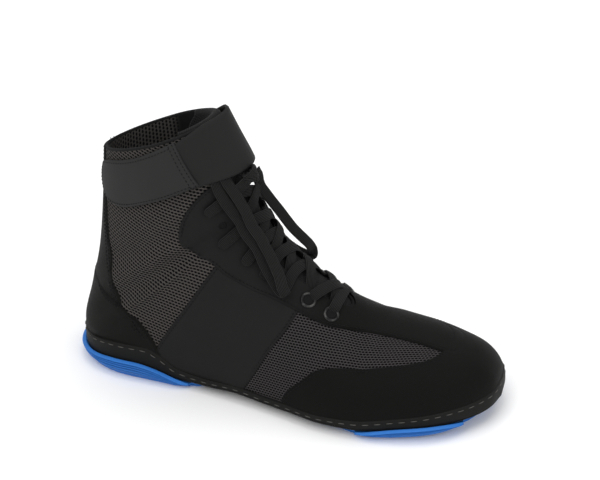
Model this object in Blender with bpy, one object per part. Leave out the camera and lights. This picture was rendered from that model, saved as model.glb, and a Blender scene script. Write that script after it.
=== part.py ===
"""Right wrestling shoe as an assembly of separate closed solids.

Metres, +Z up, toe along +X, outer (lateral) side along -Y, standing on its sole pods at Z = 0.
Every piece is read from one surface of the last: a fan of sections that run from the ridge of
the foot (t = 0) to the feather line or to the back of the heel (t = 1), numbered from toe to collar.
"""
import bpy
import numpy as np
from mathutils import Matrix

# Driving sizes of the last
SHOE_LENGTH = 0.285
BALL_WIDTH = 0.101
HEEL_WIDTH = 0.070
SHAFT_WIDTH = 0.050
INSTEP_HEIGHT = 0.101
FRONT_HEIGHT = 0.190
BACK_HEIGHT = 0.155
FEATHER_HEIGHT = 0.008
TOE_SPRING = 0.006
SHANK_ARCH = 0.0012
TOE_LEAN = 0.010

# Walls, layers and clearances
UPPER_WALL = 0.0022
OVERLAY_WALL = 0.0010
CLEARANCE = 0.0003
LAYER_GAP = 0.0007
TONGUE_WALL = 0.0030
INSOLE_WALL = 0.0035
WRAP_WALL = 0.0016
EDGE_ROUND = 0.0055
POD_THICKNESS = 0.0040
POD_WALL = 0.0018

# Throat, strap, lacing
THROAT_HALF_GAP = 0.0125
TONGUE_HALF_WIDTH = 0.026
TONGUE_RISE = 0.006
STRAP_WALL = 0.0020
EYELET_OUTER = 0.0031
EYELET_INNER = 0.0018
EYELET_HEIGHT = 0.0009
LACE_WIDTH = 0.0062
LACE_THICKNESS = 0.0016
LOOP_DIAMETER = 0.0040

# One row for each section of the last. ridge_x and base_x are shares of SHOE_LENGTH, ridge_z a share
# of the height named in height_of, base_z a share of BACK_HEIGHT above the feather line, lateral and
# medial shares of the width named in width_of, squareness the power of the section's round, widest
# the share of the section, from the ridge, at which it reaches its full width.
SIZES = {"instep": INSTEP_HEIGHT, "front": FRONT_HEIGHT, "ball": BALL_WIDTH, "heel": HEEL_WIDTH,
         "shaft": SHAFT_WIDTH}
COLUMNS = ("name", "ridge_x", "ridge_z", "height_of", "base_x", "base_z", "lateral", "medial", "width_of",
           "squareness", "widest")
SECTIONS = (
    ("tip", 1.000, 0.148, "instep", 1.000, 0.000, 0.000, 0.000, "ball", 2.3, 1.00),
    ("toe_1", 0.987, 0.29, "instep", 0.987, 0.000, 0.153, 0.208, "ball", 2.3, 1.00),
    ("toe_2", 0.948, 0.39, "instep", 0.948, 0.000, 0.292, 0.337, "ball", 2.3, 1.00),
    ("toe_3", 0.880, 0.455, "instep", 0.880, 0.000, 0.421, 0.421, "ball", 2.2, 1.00),
    ("vamp_1", 0.800, 0.505, "instep", 0.800, 0.000, 0.500, 0.455, "ball", 2.2, 1.00),
    ("ball", 0.720, 0.555, "instep", 0.715, 0.000, 0.554, 0.446, "ball", 2.1, 1.00),
    ("throat", 0.650, 0.640, "instep", 0.635, 0.000, 0.540, 0.396, "ball", 2.0, 1.00),
    ("waist_1", 0.580, 0.770, "instep", 0.550, 0.000, 0.480, 0.342, "ball", 2.0, 1.00),
    ("waist_2", 0.520, 0.890, "instep", 0.450, 0.000, 0.421, 0.312, "ball", 2.0, 1.00),
    ("instep", 0.480, 1.000, "instep", 0.345, 0.000, 0.550, 0.443, "heel", 2.0, 0.90),
    ("heel_1", 0.455, 0.584, "front", 0.235, 0.000, 0.521, 0.464, "heel", 2.0, 0.80),
    ("heel_2", 0.437, 0.628, "front", 0.115, 0.000, 0.514, 0.486, "heel", 2.0, 0.70),
    ("corner", 0.422, 0.672, "front", 0.006, 0.000, 0.514, 0.486, "heel", 2.0, 0.65),
    ("ankle_1", 0.408, 0.716, "front", 0.000, 0.122, 0.507, 0.479, "heel", 2.0, 0.60),
    ("ankle_2", 0.396, 0.762, "front", 0.020, 0.313, 0.500, 0.464, "heel", 2.0, 0.55),
    ("ankle_3", 0.379, 0.824, "front", 0.040, 0.531, 0.660, 0.580, "shaft", 2.0, 0.50),
    ("shaft", 0.358, 0.905, "front", 0.052, 0.762, 0.590, 0.490, "shaft", 2.0, 0.50),
    ("collar", 0.338, 1.000, "front", 0.060, 1.000, 0.540, 0.420, "shaft", 2.0, 0.50),
)
NAMES = [row[0] for row in SECTIONS]
LAST_ROW = len(SECTIONS) - 1
CORNER = NAMES.index("corner")
FAN_START = NAMES.index("throat")
FAN_ROWS = 5.0

# How the last closes at its back: reach of the rounding and its power, by share of BACK_HEIGHT
BACK_SHARE = (0.0, 0.17, 0.35, 0.55, 0.77, 1.0, 1.3)
BACK_REACH = (0.147, 0.154, 0.196, 0.210, 0.196, 0.182, 0.175)
BACK_POWER = (2.2, 2.1, 1.85, 1.8, 1.85, 1.9, 1.9)
SPRING_START = 0.62
LEAN_START = 0.30
ARCH_SHARES = (0.34, 0.50)


def column(name):
    """Values of one column of SECTIONS, with shares turned into lengths."""
    place = COLUMNS.index(name)
    values = np.array([row[place] for row in SECTIONS], dtype=float)
    if name in ("ridge_x", "base_x"):
        return values * SHOE_LENGTH
    if name == "ridge_z":
        return values * np.array([SIZES[row[COLUMNS.index("height_of")]] for row in SECTIONS])
    if name in ("lateral", "medial"):
        return values * np.array([SIZES[row[COLUMNS.index("width_of")]] for row in SECTIONS])
    return values


def spring(x):
    """How far the sole lifts off the ground towards the toe: a parabola from the ball on."""
    share = np.clip((np.asarray(x) / SHOE_LENGTH - SPRING_START) / (1.0 - SPRING_START), 0.0, 1.0)
    return TOE_SPRING * share ** 2


def arch(x):
    """How far the shank lifts between heel and ball."""
    low, high = ARCH_SHARES
    share = np.clip((np.asarray(x) / SHOE_LENGTH - low) / (high - low), 0.0, 1.0)
    return SHANK_ARCH * np.sin(np.pi * share) ** 2


def feather(x):
    """Height of the feather line, where upper and sole meet."""
    return FEATHER_HEIGHT + spring(x) + arch(x)


def smooth_through(place, values):
    """Cubic curve through equally spaced values that never overshoots them, read at fractional row numbers."""
    values = np.asarray(values, dtype=float)
    slope, step = np.gradient(values), np.diff(values)
    limit = np.where(step[:-1] * step[1:] > 0, 2 * np.minimum(abs(step[:-1]), abs(step[1:])), 0.0)
    slope[1:-1] = np.clip(slope[1:-1], -limit, limit)
    place = np.clip(place, 0, len(values) - 1)
    low = np.minimum(place.astype(int), len(values) - 2)
    part = place - low
    return (values[low] * (1 + 2 * part) * (1 - part) ** 2 + slope[low] * part * (1 - part) ** 2
            + values[low + 1] * part ** 2 * (3 - 2 * part) - slope[low + 1] * part ** 2 * (1 - part))


RIDGE_X, RIDGE_Z, BASE_X = column("ridge_x"), column("ridge_z"), column("base_x")
BASE_Z = feather(BASE_X) + column("base_z") * (BACK_HEIGHT - FEATHER_HEIGHT)
HALF = {-1: column("lateral"), 1: column("medial")}
SQUARENESS, WIDEST = column("squareness"), column("widest")
BACK_ROWS = np.linspace(CORNER, LAST_ROW, 120)
BACK_X = smooth_through(BACK_ROWS, BASE_X)


def base_height(s):
    """Height of each section's lower end, never under the feather line."""
    return np.maximum(smooth_through(s, BASE_Z), feather(smooth_through(s, BASE_X)))


BACK_Z = base_height(BACK_ROWS)


def fan(s):
    """How far a section turns from a cross-cut (0) into one that closes at the heel's back (1)."""
    share = np.clip((s - FAN_START) / FAN_ROWS, 0.0, 1.0)
    return share * share * (3 - 2 * share)


def depth_of(s, t):
    """Share of the way from ridge to base that a section has gone at t."""
    turn = fan(s)
    return (1 - turn) * (1 - np.cos(np.pi * t / 2)) + turn * (1 - np.cos(np.pi * t)) / 2


def t_of_depth(s, depth):
    """The t at which a section has gone that share of its way, by halving."""
    low, high = np.zeros_like(s), np.ones_like(s)
    for _ in range(40):
        middle = (low + high) / 2
        below = depth_of(s, middle) < depth
        low, high = np.where(below, middle, low), np.where(below, high, middle)
    return (low + high) / 2


def last_surface(s, t, side):
    """Point of the last on section s at t; side -1 is lateral and +1 medial."""
    s, t = np.broadcast_arrays(np.asarray(s, dtype=float), np.asarray(t, dtype=float))
    depth = depth_of(s, t)
    top_x, top_z = smooth_through(s, RIDGE_X), smooth_through(s, RIDGE_Z)
    x = top_x + (smooth_through(s, BASE_X) - top_x) * depth
    z = top_z + (base_height(s) - top_z) * depth
    power = smooth_through(s, SQUARENESS)
    reach = np.clip(depth / smooth_through(s, WIDEST), 0.0, 1.0)
    round_off = (1 - (1 - reach) ** power) ** (1 / power)
    height = z / BACK_HEIGHT
    back_power = np.interp(height, BACK_SHARE, BACK_POWER)
    behind = (x - np.interp(z, BACK_Z, BACK_X)) / (np.interp(height, BACK_SHARE, BACK_REACH) * SHOE_LENGTH)
    close = (1 - (1 - np.clip(behind, 0.0, 1.0)) ** back_power) ** (1 / back_power)
    lean = TOE_LEAN * np.clip((top_x / SHOE_LENGTH - LEAN_START) / (1 - LEAN_START), 0.0, 1.0)
    return np.stack([x, lean + side * smooth_through(s, HALF[side]) * round_off * close, z], axis=-1)


def last_normal(s, t, side):
    """Outward unit normal of the last, level across the ridge and across the heel's back."""
    s, t = np.broadcast_arrays(np.asarray(s, dtype=float), np.asarray(t, dtype=float))
    step = 0.02
    along = last_surface(np.minimum(s + step, LAST_ROW), t, side) - last_surface(np.maximum(s - step, 0), t, side)
    across = last_surface(s, np.minimum(t + step, 1), side) - last_surface(s, np.maximum(t - step, 0), side)
    normal = np.cross(across, along) * side
    normal[t < 1e-6, 1] = 0.0
    normal[(t > 1 - 1e-6) & (s >= CORNER), 1] = 0.0
    normal[(t > 0.97) & (s <= CORNER), 2] = 0.0
    normal[s < 1e-6] = (1.0, 0.0, 0.0)
    return normal / np.linalg.norm(normal, axis=-1, keepdims=True)


def lifted(s, t, side, lift):
    """Point at the distance lift outside the last."""
    return last_surface(s, t, side) + last_normal(s, t, side) * np.asarray(lift)[..., None]


def t_at_half_width(s, side, half_width):
    """The t near the ridge where a section is half_width wide."""
    power = smooth_through(s, SQUARENESS)
    share = np.clip(half_width / np.maximum(smooth_through(s, HALF[side]), 1e-6), 0.0, 0.98)
    reach = 1 - (1 - share ** power) ** (1 / power)
    return t_of_depth(s, reach * smooth_through(s, WIDEST))


def t_at_height(s, height):
    """The t where a section stands that high above the feather line."""
    top, low = smooth_through(s, RIDGE_Z), base_height(s)
    goal = feather(smooth_through(s, BASE_X)) + height
    return t_of_depth(s, np.clip((top - goal) / np.maximum(top - low, 1e-6), 0.0, 1.0))


# Mesh builders

def outward(points, faces):
    """The faces, turned over together if they enclose the solid inside out."""
    volume = 0.0
    for face in faces:
        for k in range(1, len(face) - 1):
            volume += np.dot(points[face[0]], np.cross(points[face[k]], points[face[k + 1]]))
    return faces if volume > 0 else [tuple(reversed(face)) for face in faces]


def new_object(name, points, faces, colour, roughness, metallic=0.0):
    """One closed solid with its own Principled material, shaded smooth up to a 40 degree edge."""
    points = np.asarray(points, dtype=float)
    faces = outward(points, faces)
    mesh = bpy.data.meshes.new(name)
    mesh.from_pydata([tuple(point) for point in points], [], faces)
    mesh.validate()
    mesh.update()
    mesh.shade_smooth()
    mesh.set_sharp_from_angle(angle=np.radians(40.0))
    material = bpy.data.materials.new(name)
    material.use_nodes = True
    shader = material.node_tree.nodes["Principled BSDF"]
    shader.inputs["Base Color"].default_value = (*colour, 1.0)
    shader.inputs["Roughness"].default_value = roughness
    shader.inputs["Metallic"].default_value = metallic
    mesh.materials.append(material)
    item = bpy.data.objects.new(name, mesh)
    bpy.context.scene.collection.objects.link(item)
    return item


def walled(outer, inner, faces):
    """Points and faces of a closed wall between two like-numbered surfaces, its open edges bridged."""
    count = len(outer)
    directed = {(face[k], face[(k + 1) % len(face)]) for face in faces for k in range(len(face))}
    back = [tuple(count + index for index in reversed(face)) for face in faces]
    rim = [(b, a, count + a, count + b) for a, b in sorted(directed) if (b, a) not in directed]
    return np.concatenate([outer, inner]), faces + back + rim


def fan_grid(rows, near, far):
    """Rows of the last between two edges, each a function of (s, side) that gives t.

    Returns the points' s, t and side, and the faces seen from outside. Every point lies on a level of t
    or on an edge. The sides share their points at the ridge and at the heel's back, and the toe's tip is
    one point.
    """
    place, numbers, faces = {}, [], []
    index = {}
    for side in (-1, 1):
        for i, s in enumerate(rows):
            start, end = near(s, side), far(s, side)
            for j, level in enumerate(LEVELS):
                level = 1.0 if level > FORE_LEVEL and s < HEEL_START else level
                t = min(max(level, start), end)
                t = next((edge for edge in (start, end) if abs(edge - t) < LEVEL_SNAP), t)
                joined = t < 1e-9 or (t > 1 - 1e-9 and s >= CORNER)
                key = ("tip",) if s == 0 else (i, round(t, 6), 0 if joined else side)
                if key not in place:
                    place[key] = len(numbers)
                    numbers.append((s, t, side))
                index[side, i, j] = place[key]
        for i in range(len(rows) - 1):
            for j in range(len(LEVELS) - 1):
                a, b = index[side, i, j], index[side, i + 1, j]
                c, d = index[side, i + 1, j + 1], index[side, i, j + 1]
                for loop in ((a, b, c), (a, c, d)):
                    if len(set(loop)) > 2:
                        faces.append(loop if side > 0 else loop[::-1])
    used = sorted({p for face in faces for p in face})
    renumber = {old: new for new, old in enumerate(used)}
    s, t, side = np.array([numbers[p] for p in used]).T
    return s, t, side, [tuple(renumber[p] for p in face) for face in faces]


def bracket(values, table):
    """The two entries of a sorted table round each value, and the share of the way between them."""
    table = np.array(table)
    after = np.clip(np.searchsorted(table, values - 1e-9), 1, len(table) - 1)
    low, high = table[after - 1], table[after]
    return low, high, np.clip((values - low) / (high - low), 0.0, 1.0)[:, None]


def lift_points(s, t, side, lift):
    """Points at one distance outside the last's facets, for grids that hold both sides."""
    lift = np.broadcast_to(lift, s.shape)
    points = np.empty((len(s), 3))
    for value in (-1, 1):
        mine = side == value
        rows, levels = bracket(s[mine], ALL_ROWS), bracket(t[mine], LEVELS)
        (near_low, near_high), (far_low, far_high) = [
            [lifted(row, level, value, lift[mine]) for level in levels[:2]] for row in rows[:2]]
        along, across = rows[2], levels[2]
        first = near_low + (far_low - near_low) * along + (far_high - far_low) * across
        second = near_low + (near_high - near_low) * across + (far_high - near_high) * along
        points[mine] = np.where(along >= across, first, second)
    return points


def fan_solid(name, span, near, far, low, high, colour, roughness, edge_rows=()):
    """Closed wall that follows the last between the lifts low and high, over the rows in span.

    Where an edge runs steeply across the sections, edge_rows adds rows of its own.
    """
    rows = sorted({row for row in ALL_ROWS + edge_rows if span[0] <= row <= span[1]})
    s, t, side, faces = fan_grid(rows, near, far)
    points, all_faces = walled(lift_points(s, t, side, high), lift_points(s, t, side, low), faces)
    return new_object(name, points, all_faces, colour, roughness)


def ring_solid(name, rings, colour, roughness):
    """Solid of stacked closed rings; each end ring is closed by strips between its two sides."""
    count = len(rings[0])
    points = np.concatenate(rings)
    faces = []
    for k in range(len(rings) - 1):
        for i in range(count):
            after = (i + 1) % count
            faces.append((k * count + i, (k + 1) * count + i, (k + 1) * count + after, k * count + after))
    last = (len(rings) - 1) * count
    for i in range(count // 2):
        strip = (i, i + 1, (count - i - 1) % count, (count - i) % count)
        strip = tuple(p for k, p in enumerate(strip) if p != strip[k - 1])
        faces.append(strip)
        faces.append(tuple(last + p for p in reversed(strip)))
    item = new_object(name, points, faces, colour, roughness)
    return item


def ribbon(path, normals, width, thickness):
    """Points and faces of a closed flat band, its flat side facing the normals."""
    path = np.asarray(path, dtype=float)
    along = np.gradient(path, axis=0)
    along /= np.linalg.norm(along, axis=1, keepdims=True)
    level = np.cross(along, normals)
    level /= np.linalg.norm(level, axis=1, keepdims=True)
    rise = np.cross(level, along)
    half, deep = width / 2, thickness / 2
    outline = ((half, deep), (-half, deep), (-half, -deep), (half, -deep))
    points = [centre + flat * a + up * b for centre, flat, up in zip(path, level, rise) for a, b in outline]
    count = len(outline)
    faces = []
    for k in range(len(path) - 1):
        for i in range(count):
            a, b = k * count + i, k * count + (i + 1) % count
            faces += [(a, a + count, b + count), (a, b + count, b)]
    last = (len(path) - 1) * count
    faces += [(0, 1, 2), (0, 2, 3), (last, last + 2, last + 1), (last, last + 3, last + 2)]
    return points, faces


# Colours, as linear shares
BLACK_SMOOTH = (0.016, 0.016, 0.016)
BLACK_MESH = (0.026, 0.025, 0.024)
BLACK_RUBBER = (0.012, 0.012, 0.012)
BLUE_RUBBER = (0.030, 0.130, 0.400)
LACE_BLACK = (0.014, 0.014, 0.014)
DARK_METAL = (0.060, 0.060, 0.060)
INSIDE_GREY = (0.030, 0.030, 0.030)

# Rows and levels of t that every piece on the last shares, so that faceted layers stay parallel
THROAT_START = 5.95
ALL_ROWS = (0.0, 0.3, 0.55, 0.7, 0.95, 1.4, 2.0, 2.6, 3.1, 3.6, 4.2, 4.8, 5.4, 5.95, 6.2, 6.6, 7.2, 7.8, 8.4, 9.0,
            9.6, 10.3, 10.8, 11.25, 11.55, 11.78, 11.91, 12.0, 12.45, 13.0, 13.8, 14.6, 15.3, 16.1, 17.0)
HEEL_ROWS = (12.2, 12.65, 12.78, 12.9)
LEVEL_SNAP = 0.012
FORE_LEVEL = 0.87
HEEL_START = 9.5
LEVELS = (0.0, 0.14, 0.25, 0.33, 0.43, 0.54, 0.65, 0.76, 0.86, 0.94, 0.98, 1.0)

# Height of the wrap above the feather line by share of SHOE_LENGTH
WRAP_SHARE = (0.00, 0.06, 0.14, 0.20, 0.26, 0.34, 0.50, 0.62, 0.74, 0.86, 0.95, 1.00)
WRAP_RISE = (0.75, 0.95, 1.00, 0.75, 0.35, 0.22, 0.20, 0.22, 0.32, 0.42, 0.50, 0.55)
WRAP_TOP = 0.0175


def wrap_height(x):
    """Height of the wrap's top edge above the feather line."""
    return WRAP_TOP * np.interp(np.asarray(x) / SHOE_LENGTH, WRAP_SHARE, WRAP_RISE)


def throat_edge(s, side):
    """The upper's edge beside the throat: a round start, then a slowly widening gap."""
    start = np.clip((s - THROAT_START) / 0.9, 0.0, 1.0)
    widening = 0.85 + 0.45 * np.clip((s - THROAT_START) / (LAST_ROW - THROAT_START), 0.0, 1.0)
    half = THROAT_HALF_GAP * widening * np.sqrt(1 - (1 - start) ** 2)
    return 0.0 if s <= THROAT_START else float(t_at_half_width(np.array(s, dtype=float), side, half))


def base_edge(s, side):
    """The feather line, and above the corner the middle of the heel's back."""
    return 1.0


def edge_at_height(s, margin):
    """The t at a margin above the wrap's top edge, or the heel's back where a section starts above it."""
    row = np.array(s, dtype=float)
    x = smooth_through(row, BASE_X)
    height = wrap_height(x) + margin
    if base_height(row) >= feather(x) + height:
        return 1.0
    return float(t_at_height(row, height))


def wrap_top_edge(s, side):
    """Top edge of the wrap."""
    return edge_at_height(s, 0.0)


def wrap_edge(s, side):
    """Where an overlay ends just above the wrap."""
    return edge_at_height(s, 4 * CLEARANCE)


def build_upper():
    """Hollow upper, open at collar, throat and underneath."""
    return fan_solid("upper", (0, LAST_ROW), throat_edge, base_edge, -UPPER_WALL, 0.0, BLACK_MESH, 0.9)


def build_wrap():
    """Thin rand that stands round the upper's lower edge."""
    return fan_solid("side_wrap", (0, 12.78), wrap_top_edge, base_edge, LAYER_GAP, LAYER_GAP + WRAP_WALL,
                     BLACK_RUBBER, 0.7, HEEL_ROWS)


# Edges of the overlays: section number and the t of the edge on it
TOE_CAP_EDGE = ((0.00, 0.00), (3.10, 0.00), (3.25, 0.16), (3.35, 0.24), (3.45, 0.31), (3.60, 0.37), (4.20, 0.45), (4.80, 0.515), (5.40, 0.583), (5.95, 0.645),
                (6.20, 0.68), (6.60, 0.765), (6.90, 0.860), (7.10, 0.93))
TOE_CAP_ROWS = (3.25, 3.35, 3.45, 6.90, 7.10)
SADDLE_EDGE = ((3.10, 0.03), (3.60, 0.060), (4.20, 0.082), (4.80, 0.115), (5.40, 0.165), (5.95, 0.242),
               (6.20, 0.270), (6.60, 0.308), (7.20, 0.330), (7.36, 0.43), (7.51, 0.54),
               (7.66, 0.65), (7.80, 0.76), (7.93, 0.86), (8.04, 0.94), (8.10, 1.0), (10.30, 1.0), (10.37, 0.94),
               (10.46, 0.86), (10.57, 0.76), (10.68, 0.65), (10.80, 0.54), (10.92, 0.43), (11.05, 0.33),
               (11.25, 0.322), (11.55, 0.320), (12.00, 0.330), (12.45, 0.340), (13.00, 0.352), (13.80, 0.382), (14.60, 0.333), (15.30, 0.280))
SADDLE_ROWS = (7.36, 7.51, 7.66, 7.93, 8.04, 8.10, 10.37, 10.46, 10.57, 10.68, 10.92, 11.05)
COUNTER_EDGE = ((10.80, 0.690), (11.25, 0.650), (11.55, 0.622), (12.00, 0.616), (12.45, 0.625),
                (13.00, 0.650), (13.80, 0.700), (14.60, 0.752), (15.30, 0.800), (16.10, 0.845))


def edge_reader(table):
    """Function of (s, side) that reads an overlay's edge by straight runs."""
    rows, values = zip(*table)
    return lambda s, side: float(np.interp(s, rows, values))


def build_toe_cap():
    """Toe cap with a wing along each side, from the wrap up."""
    return fan_solid("toe_cap", (0.7, TOE_CAP_ROWS[-1]), edge_reader(TOE_CAP_EDGE), wrap_edge, LAYER_GAP,
                     LAYER_GAP + OVERLAY_WALL, BLACK_SMOOTH, 0.55, TOE_CAP_ROWS)


def build_saddle():
    """Vamp strip, eyestays and mid panels in one layer, round the front of the throat."""
    read = edge_reader(SADDLE_EDGE)

    def far(s, side):
        return min(read(s, side), wrap_edge(s, side))

    def near(s, side):
        return throat_edge(s, side) if s > 3.2 else 0.0
    return fan_solid("saddle_panel", (3.6, 15.3), near, far, LAYER_GAP, LAYER_GAP + OVERLAY_WALL,
                     BLACK_SMOOTH, 0.6, SADDLE_ROWS)


def build_counter():
    """Heel counter with the backstay above it."""
    return fan_solid("heel_counter", (10.8, 16.1), edge_reader(COUNTER_EDGE), wrap_edge, LAYER_GAP,
                     LAYER_GAP + OVERLAY_WALL, BLACK_SMOOTH, 0.6, HEEL_ROWS)


def build_tongue():
    """Tongue under the throat, a little higher than the collar."""
    rows = [row for row in ALL_ROWS if row >= THROAT_START - 1.2 and not 11.3 < row < 12]

    def ridge(s, side):
        return 0.0

    def edge(s, side):
        return float(t_at_half_width(np.array(s, dtype=float), side, TONGUE_HALF_WIDTH))
    s, t, side, faces = fan_grid(rows, ridge, edge)
    top = UPPER_WALL + 2 * CLEARANCE
    highest = s >= LAST_ROW - 1e-6
    layers = []
    for depth in (-top, -top - TONGUE_WALL):
        layer, below = lift_points(s, t, side, depth), lift_points(s - 0.5, t, side, depth)
        rise = (layer - below)[highest]
        layer[highest] += rise / np.linalg.norm(rise, axis=1, keepdims=True) * TONGUE_RISE
        layers.append(layer)
    points, all_faces = walled(*layers, faces)
    return new_object("tongue", points, all_faces, BLACK_MESH, 0.9)


# Ankle strap and its tab: place round the shaft (minus lateral, plus medial), lower and upper edge as
# section numbers, and the gap to the upper
STRAP_TABLE = ((-0.42, 15.42, 16.85, 0.0010), (-0.31, 15.30, 16.90, 0.0013), (-0.23, 15.18, 16.92, 0.0029),
               (-0.15, 15.05, 16.95, 0.0056), (-0.08, 14.95, 16.95, 0.0078), (0.0, 14.85, 16.95, 0.0088),
               (0.08, 14.90, 16.95, 0.0078), (0.15, 15.00, 16.95, 0.0056), (0.23, 15.10, 16.92, 0.0029),
               (0.31, 15.20, 16.90, 0.0013), (0.45, 15.40, 16.85, 0.0010), (0.62, 15.60, 16.80, 0.0010))
TAB_TABLE = ((-0.86, 16.38, 16.74, 0.0010), (-0.83, 16.12, 16.77, 0.0010), (-0.77, 15.84, 16.80, 0.0010),
             (-0.69, 15.70, 16.80, 0.0010), (-0.61, 15.60, 16.80, 0.0012), (-0.52, 15.53, 16.82, 0.0026),
             (-0.45, 15.46, 16.84, 0.0034), (-0.38, 15.38, 16.87, 0.0035), (-0.31, 15.28, 16.90, 0.0037))


def build_band(name, table):
    """Band round the shaft that follows the table's edges and gaps, STRAP_WALL thick."""
    layers = []
    for extra in (STRAP_WALL, 0.0):
        layer = []
        for place, low, high, gap in table:
            rows = np.linspace(low, high, 4)
            layer.append(lifted(rows, np.full(4, abs(place)), 1 if place > 0 else -1, np.full(4, gap + extra)))
        layers.append(np.concatenate(layer))
    faces = [(k * 4 + i, k * 4 + i + 1, k * 4 + i + 5, k * 4 + i + 4) for k in range(len(table) - 1) for i in range(3)]
    points, all_faces = walled(*layers, faces)
    return new_object(name, points, all_faces, BLACK_SMOOTH, 0.6)


# Section number and t of each eyelet, bottom pair first, the same on both sides
EYELETS = ((6.42, 0.245), (7.20, 0.262), (8.00, 0.268), (8.95, 0.268), (10.05, 0.262), (11.50, 0.258),
           (12.75, 0.262), (14.00, 0.272))
EYELET_SEAT = LAYER_GAP + OVERLAY_WALL + CLEARANCE
EYELET_SIDES = 6


def build_eyelets():
    """A raised metal ring round each lace hole."""
    turn = np.linspace(0, 2 * np.pi, EYELET_SIDES, endpoint=False)
    for number, (s, t) in enumerate(EYELETS, start=1):
        for side, word in ((-1, "lateral"), (1, "medial")):
            centre = lifted(s, t, side, EYELET_SEAT)
            axis = last_normal(s, t, side)
            first = np.cross(axis, (0.0, 1.0, 0.0))
            first /= np.linalg.norm(first)
            second = np.cross(axis, first)
            spoke = np.cos(turn)[:, None] * first + np.sin(turn)[:, None] * second
            middle = (EYELET_OUTER + EYELET_INNER) / 2
            profile = ((EYELET_OUTER, 0.0), (middle, EYELET_HEIGHT), (EYELET_INNER, 0.0))
            points = np.concatenate([centre + spoke * radius + axis * height for radius, height in profile])
            faces = [(k * EYELET_SIDES + i, k * EYELET_SIDES + (i + 1) % EYELET_SIDES,
                      (k + 1) % 3 * EYELET_SIDES + (i + 1) % EYELET_SIDES, (k + 1) % 3 * EYELET_SIDES + i)
                     for k in range(3) for i in range(EYELET_SIDES)]
            new_object(f"eyelet_{number}_{word}", points, faces, DARK_METAL, 0.35, 1.0)


LACE_POINTS = 5
LACE_LIFT = EYELET_SEAT + EYELET_HEIGHT + 3 * CLEARANCE + LACE_THICKNESS / 2
LACE_STEP = 0.00035


def crossing(start, end, lift):
    """Centre line of a lace and its normals, from the lateral eyelet start over the throat to the medial end."""
    path, normals = [], []
    for share in np.linspace(0, 1, LACE_POINTS):
        s = start[0] + (end[0] - start[0]) * share
        place = -start[1] + (start[1] + end[1]) * share
        side = 1 if place > 0 else -1
        path.append(lifted(s, abs(place), side, lift))
        normals.append(last_normal(s, abs(place), side))
    return np.array(path), np.array(normals)


def build_lacing():
    """Bottom bar and the crossings above it, joined into one solid."""
    runs = [(EYELETS[0], EYELETS[0])]
    for low, high in zip(EYELETS, EYELETS[1:]):
        runs += [(low, high), (high, low)]
    pieces = []
    for number, (start, end) in enumerate(runs):
        line = crossing(start, end, LACE_LIFT + LACE_STEP * (number % 4))
        points, faces = ribbon(*line, LACE_WIDTH, LACE_THICKNESS)
        pieces.append(new_object(f"lace_run_{number}", points, faces, LACE_BLACK, 0.85))
    body = pieces[0]
    body.name = "lace_crossings"
    for piece in pieces[1:]:
        join = body.modifiers.new(piece.name, "BOOLEAN")
        join.operation = "UNION"
        join.solver = "EXACT"
        join.object = piece
    bpy.context.view_layer.update()
    joined = bpy.data.meshes.new_from_object(body.evaluated_get(bpy.context.evaluated_depsgraph_get()))
    body.modifiers.clear()
    body.data = joined
    for piece in pieces[1:]:
        bpy.data.objects.remove(piece, do_unlink=True)


# Bow: section number, signed place round the foot and lift of each point of a loop's centre line
KNOT = (14.55, -0.045, 0.0105)
KNOT_SIZE = (0.0075, 0.0110, 0.0050)
NEAR_LOOP = ((14.25, -0.110, 0.0121), (13.55, -0.135, 0.0111), (12.52, -0.145, 0.0101), (11.30, -0.150, 0.0096),
             (10.25, -0.165, 0.0096), (9.30, -0.210, 0.0096), (8.59, -0.262, 0.0101), (8.12, -0.310, 0.0101),
             (7.80, -0.330, 0.0101), (7.72, -0.290, 0.0101), (8.10, -0.240, 0.0106), (8.90, -0.185, 0.0106),
             (9.70, -0.135, 0.0106), (10.60, -0.105, 0.0106), (11.70, -0.092, 0.0111), (12.83, -0.088, 0.0116),
             (13.90, -0.075, 0.0126))
FAR_LOOP = ((14.15, 0.045, 0.0115), (13.00, 0.090, 0.0130), (11.70, 0.120, 0.0150), (10.40, 0.150, 0.0150),
            (9.20, 0.190, 0.0140), (8.40, 0.240, 0.0120), (7.85, 0.310, 0.0095), (7.95, 0.375, 0.0085),
            (8.50, 0.370, 0.0085), (9.30, 0.330, 0.0090), (10.40, 0.270, 0.0095), (11.60, 0.215, 0.0100),
            (12.80, 0.165, 0.0105), (13.80, 0.110, 0.0115))
LOOP_POINTS = 26


def placed(table):
    """Points of a bow table in space."""
    return np.array([lifted(s, abs(place), 1 if place > 0 else -1, lift) for s, place, lift in table])


def build_loop(name, table):
    """Round lace along a smooth curve through the table's points."""
    corners = placed(table)
    place = np.linspace(0, len(corners) - 1, LOOP_POINTS)
    path = np.stack([smooth_through(place, corners[:, k]) for k in range(3)], axis=1)
    curve = bpy.data.curves.new(name, "CURVE")
    curve.dimensions = "3D"
    curve.bevel_depth = LOOP_DIAMETER / 2
    curve.bevel_resolution = 1
    curve.use_fill_caps = True
    spline = curve.splines.new("POLY")
    spline.points.add(LOOP_POINTS - 1)
    for point, where in zip(spline.points, path):
        point.co = (*where, 1.0)
    item = bpy.data.objects.new(name, curve)
    bpy.context.scene.collection.objects.link(item)
    material = bpy.data.materials.new(name)
    material.use_nodes = True
    material.node_tree.nodes["Principled BSDF"].inputs["Base Color"].default_value = (*LACE_BLACK, 1.0)
    curve.materials.append(material)
    return item


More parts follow.
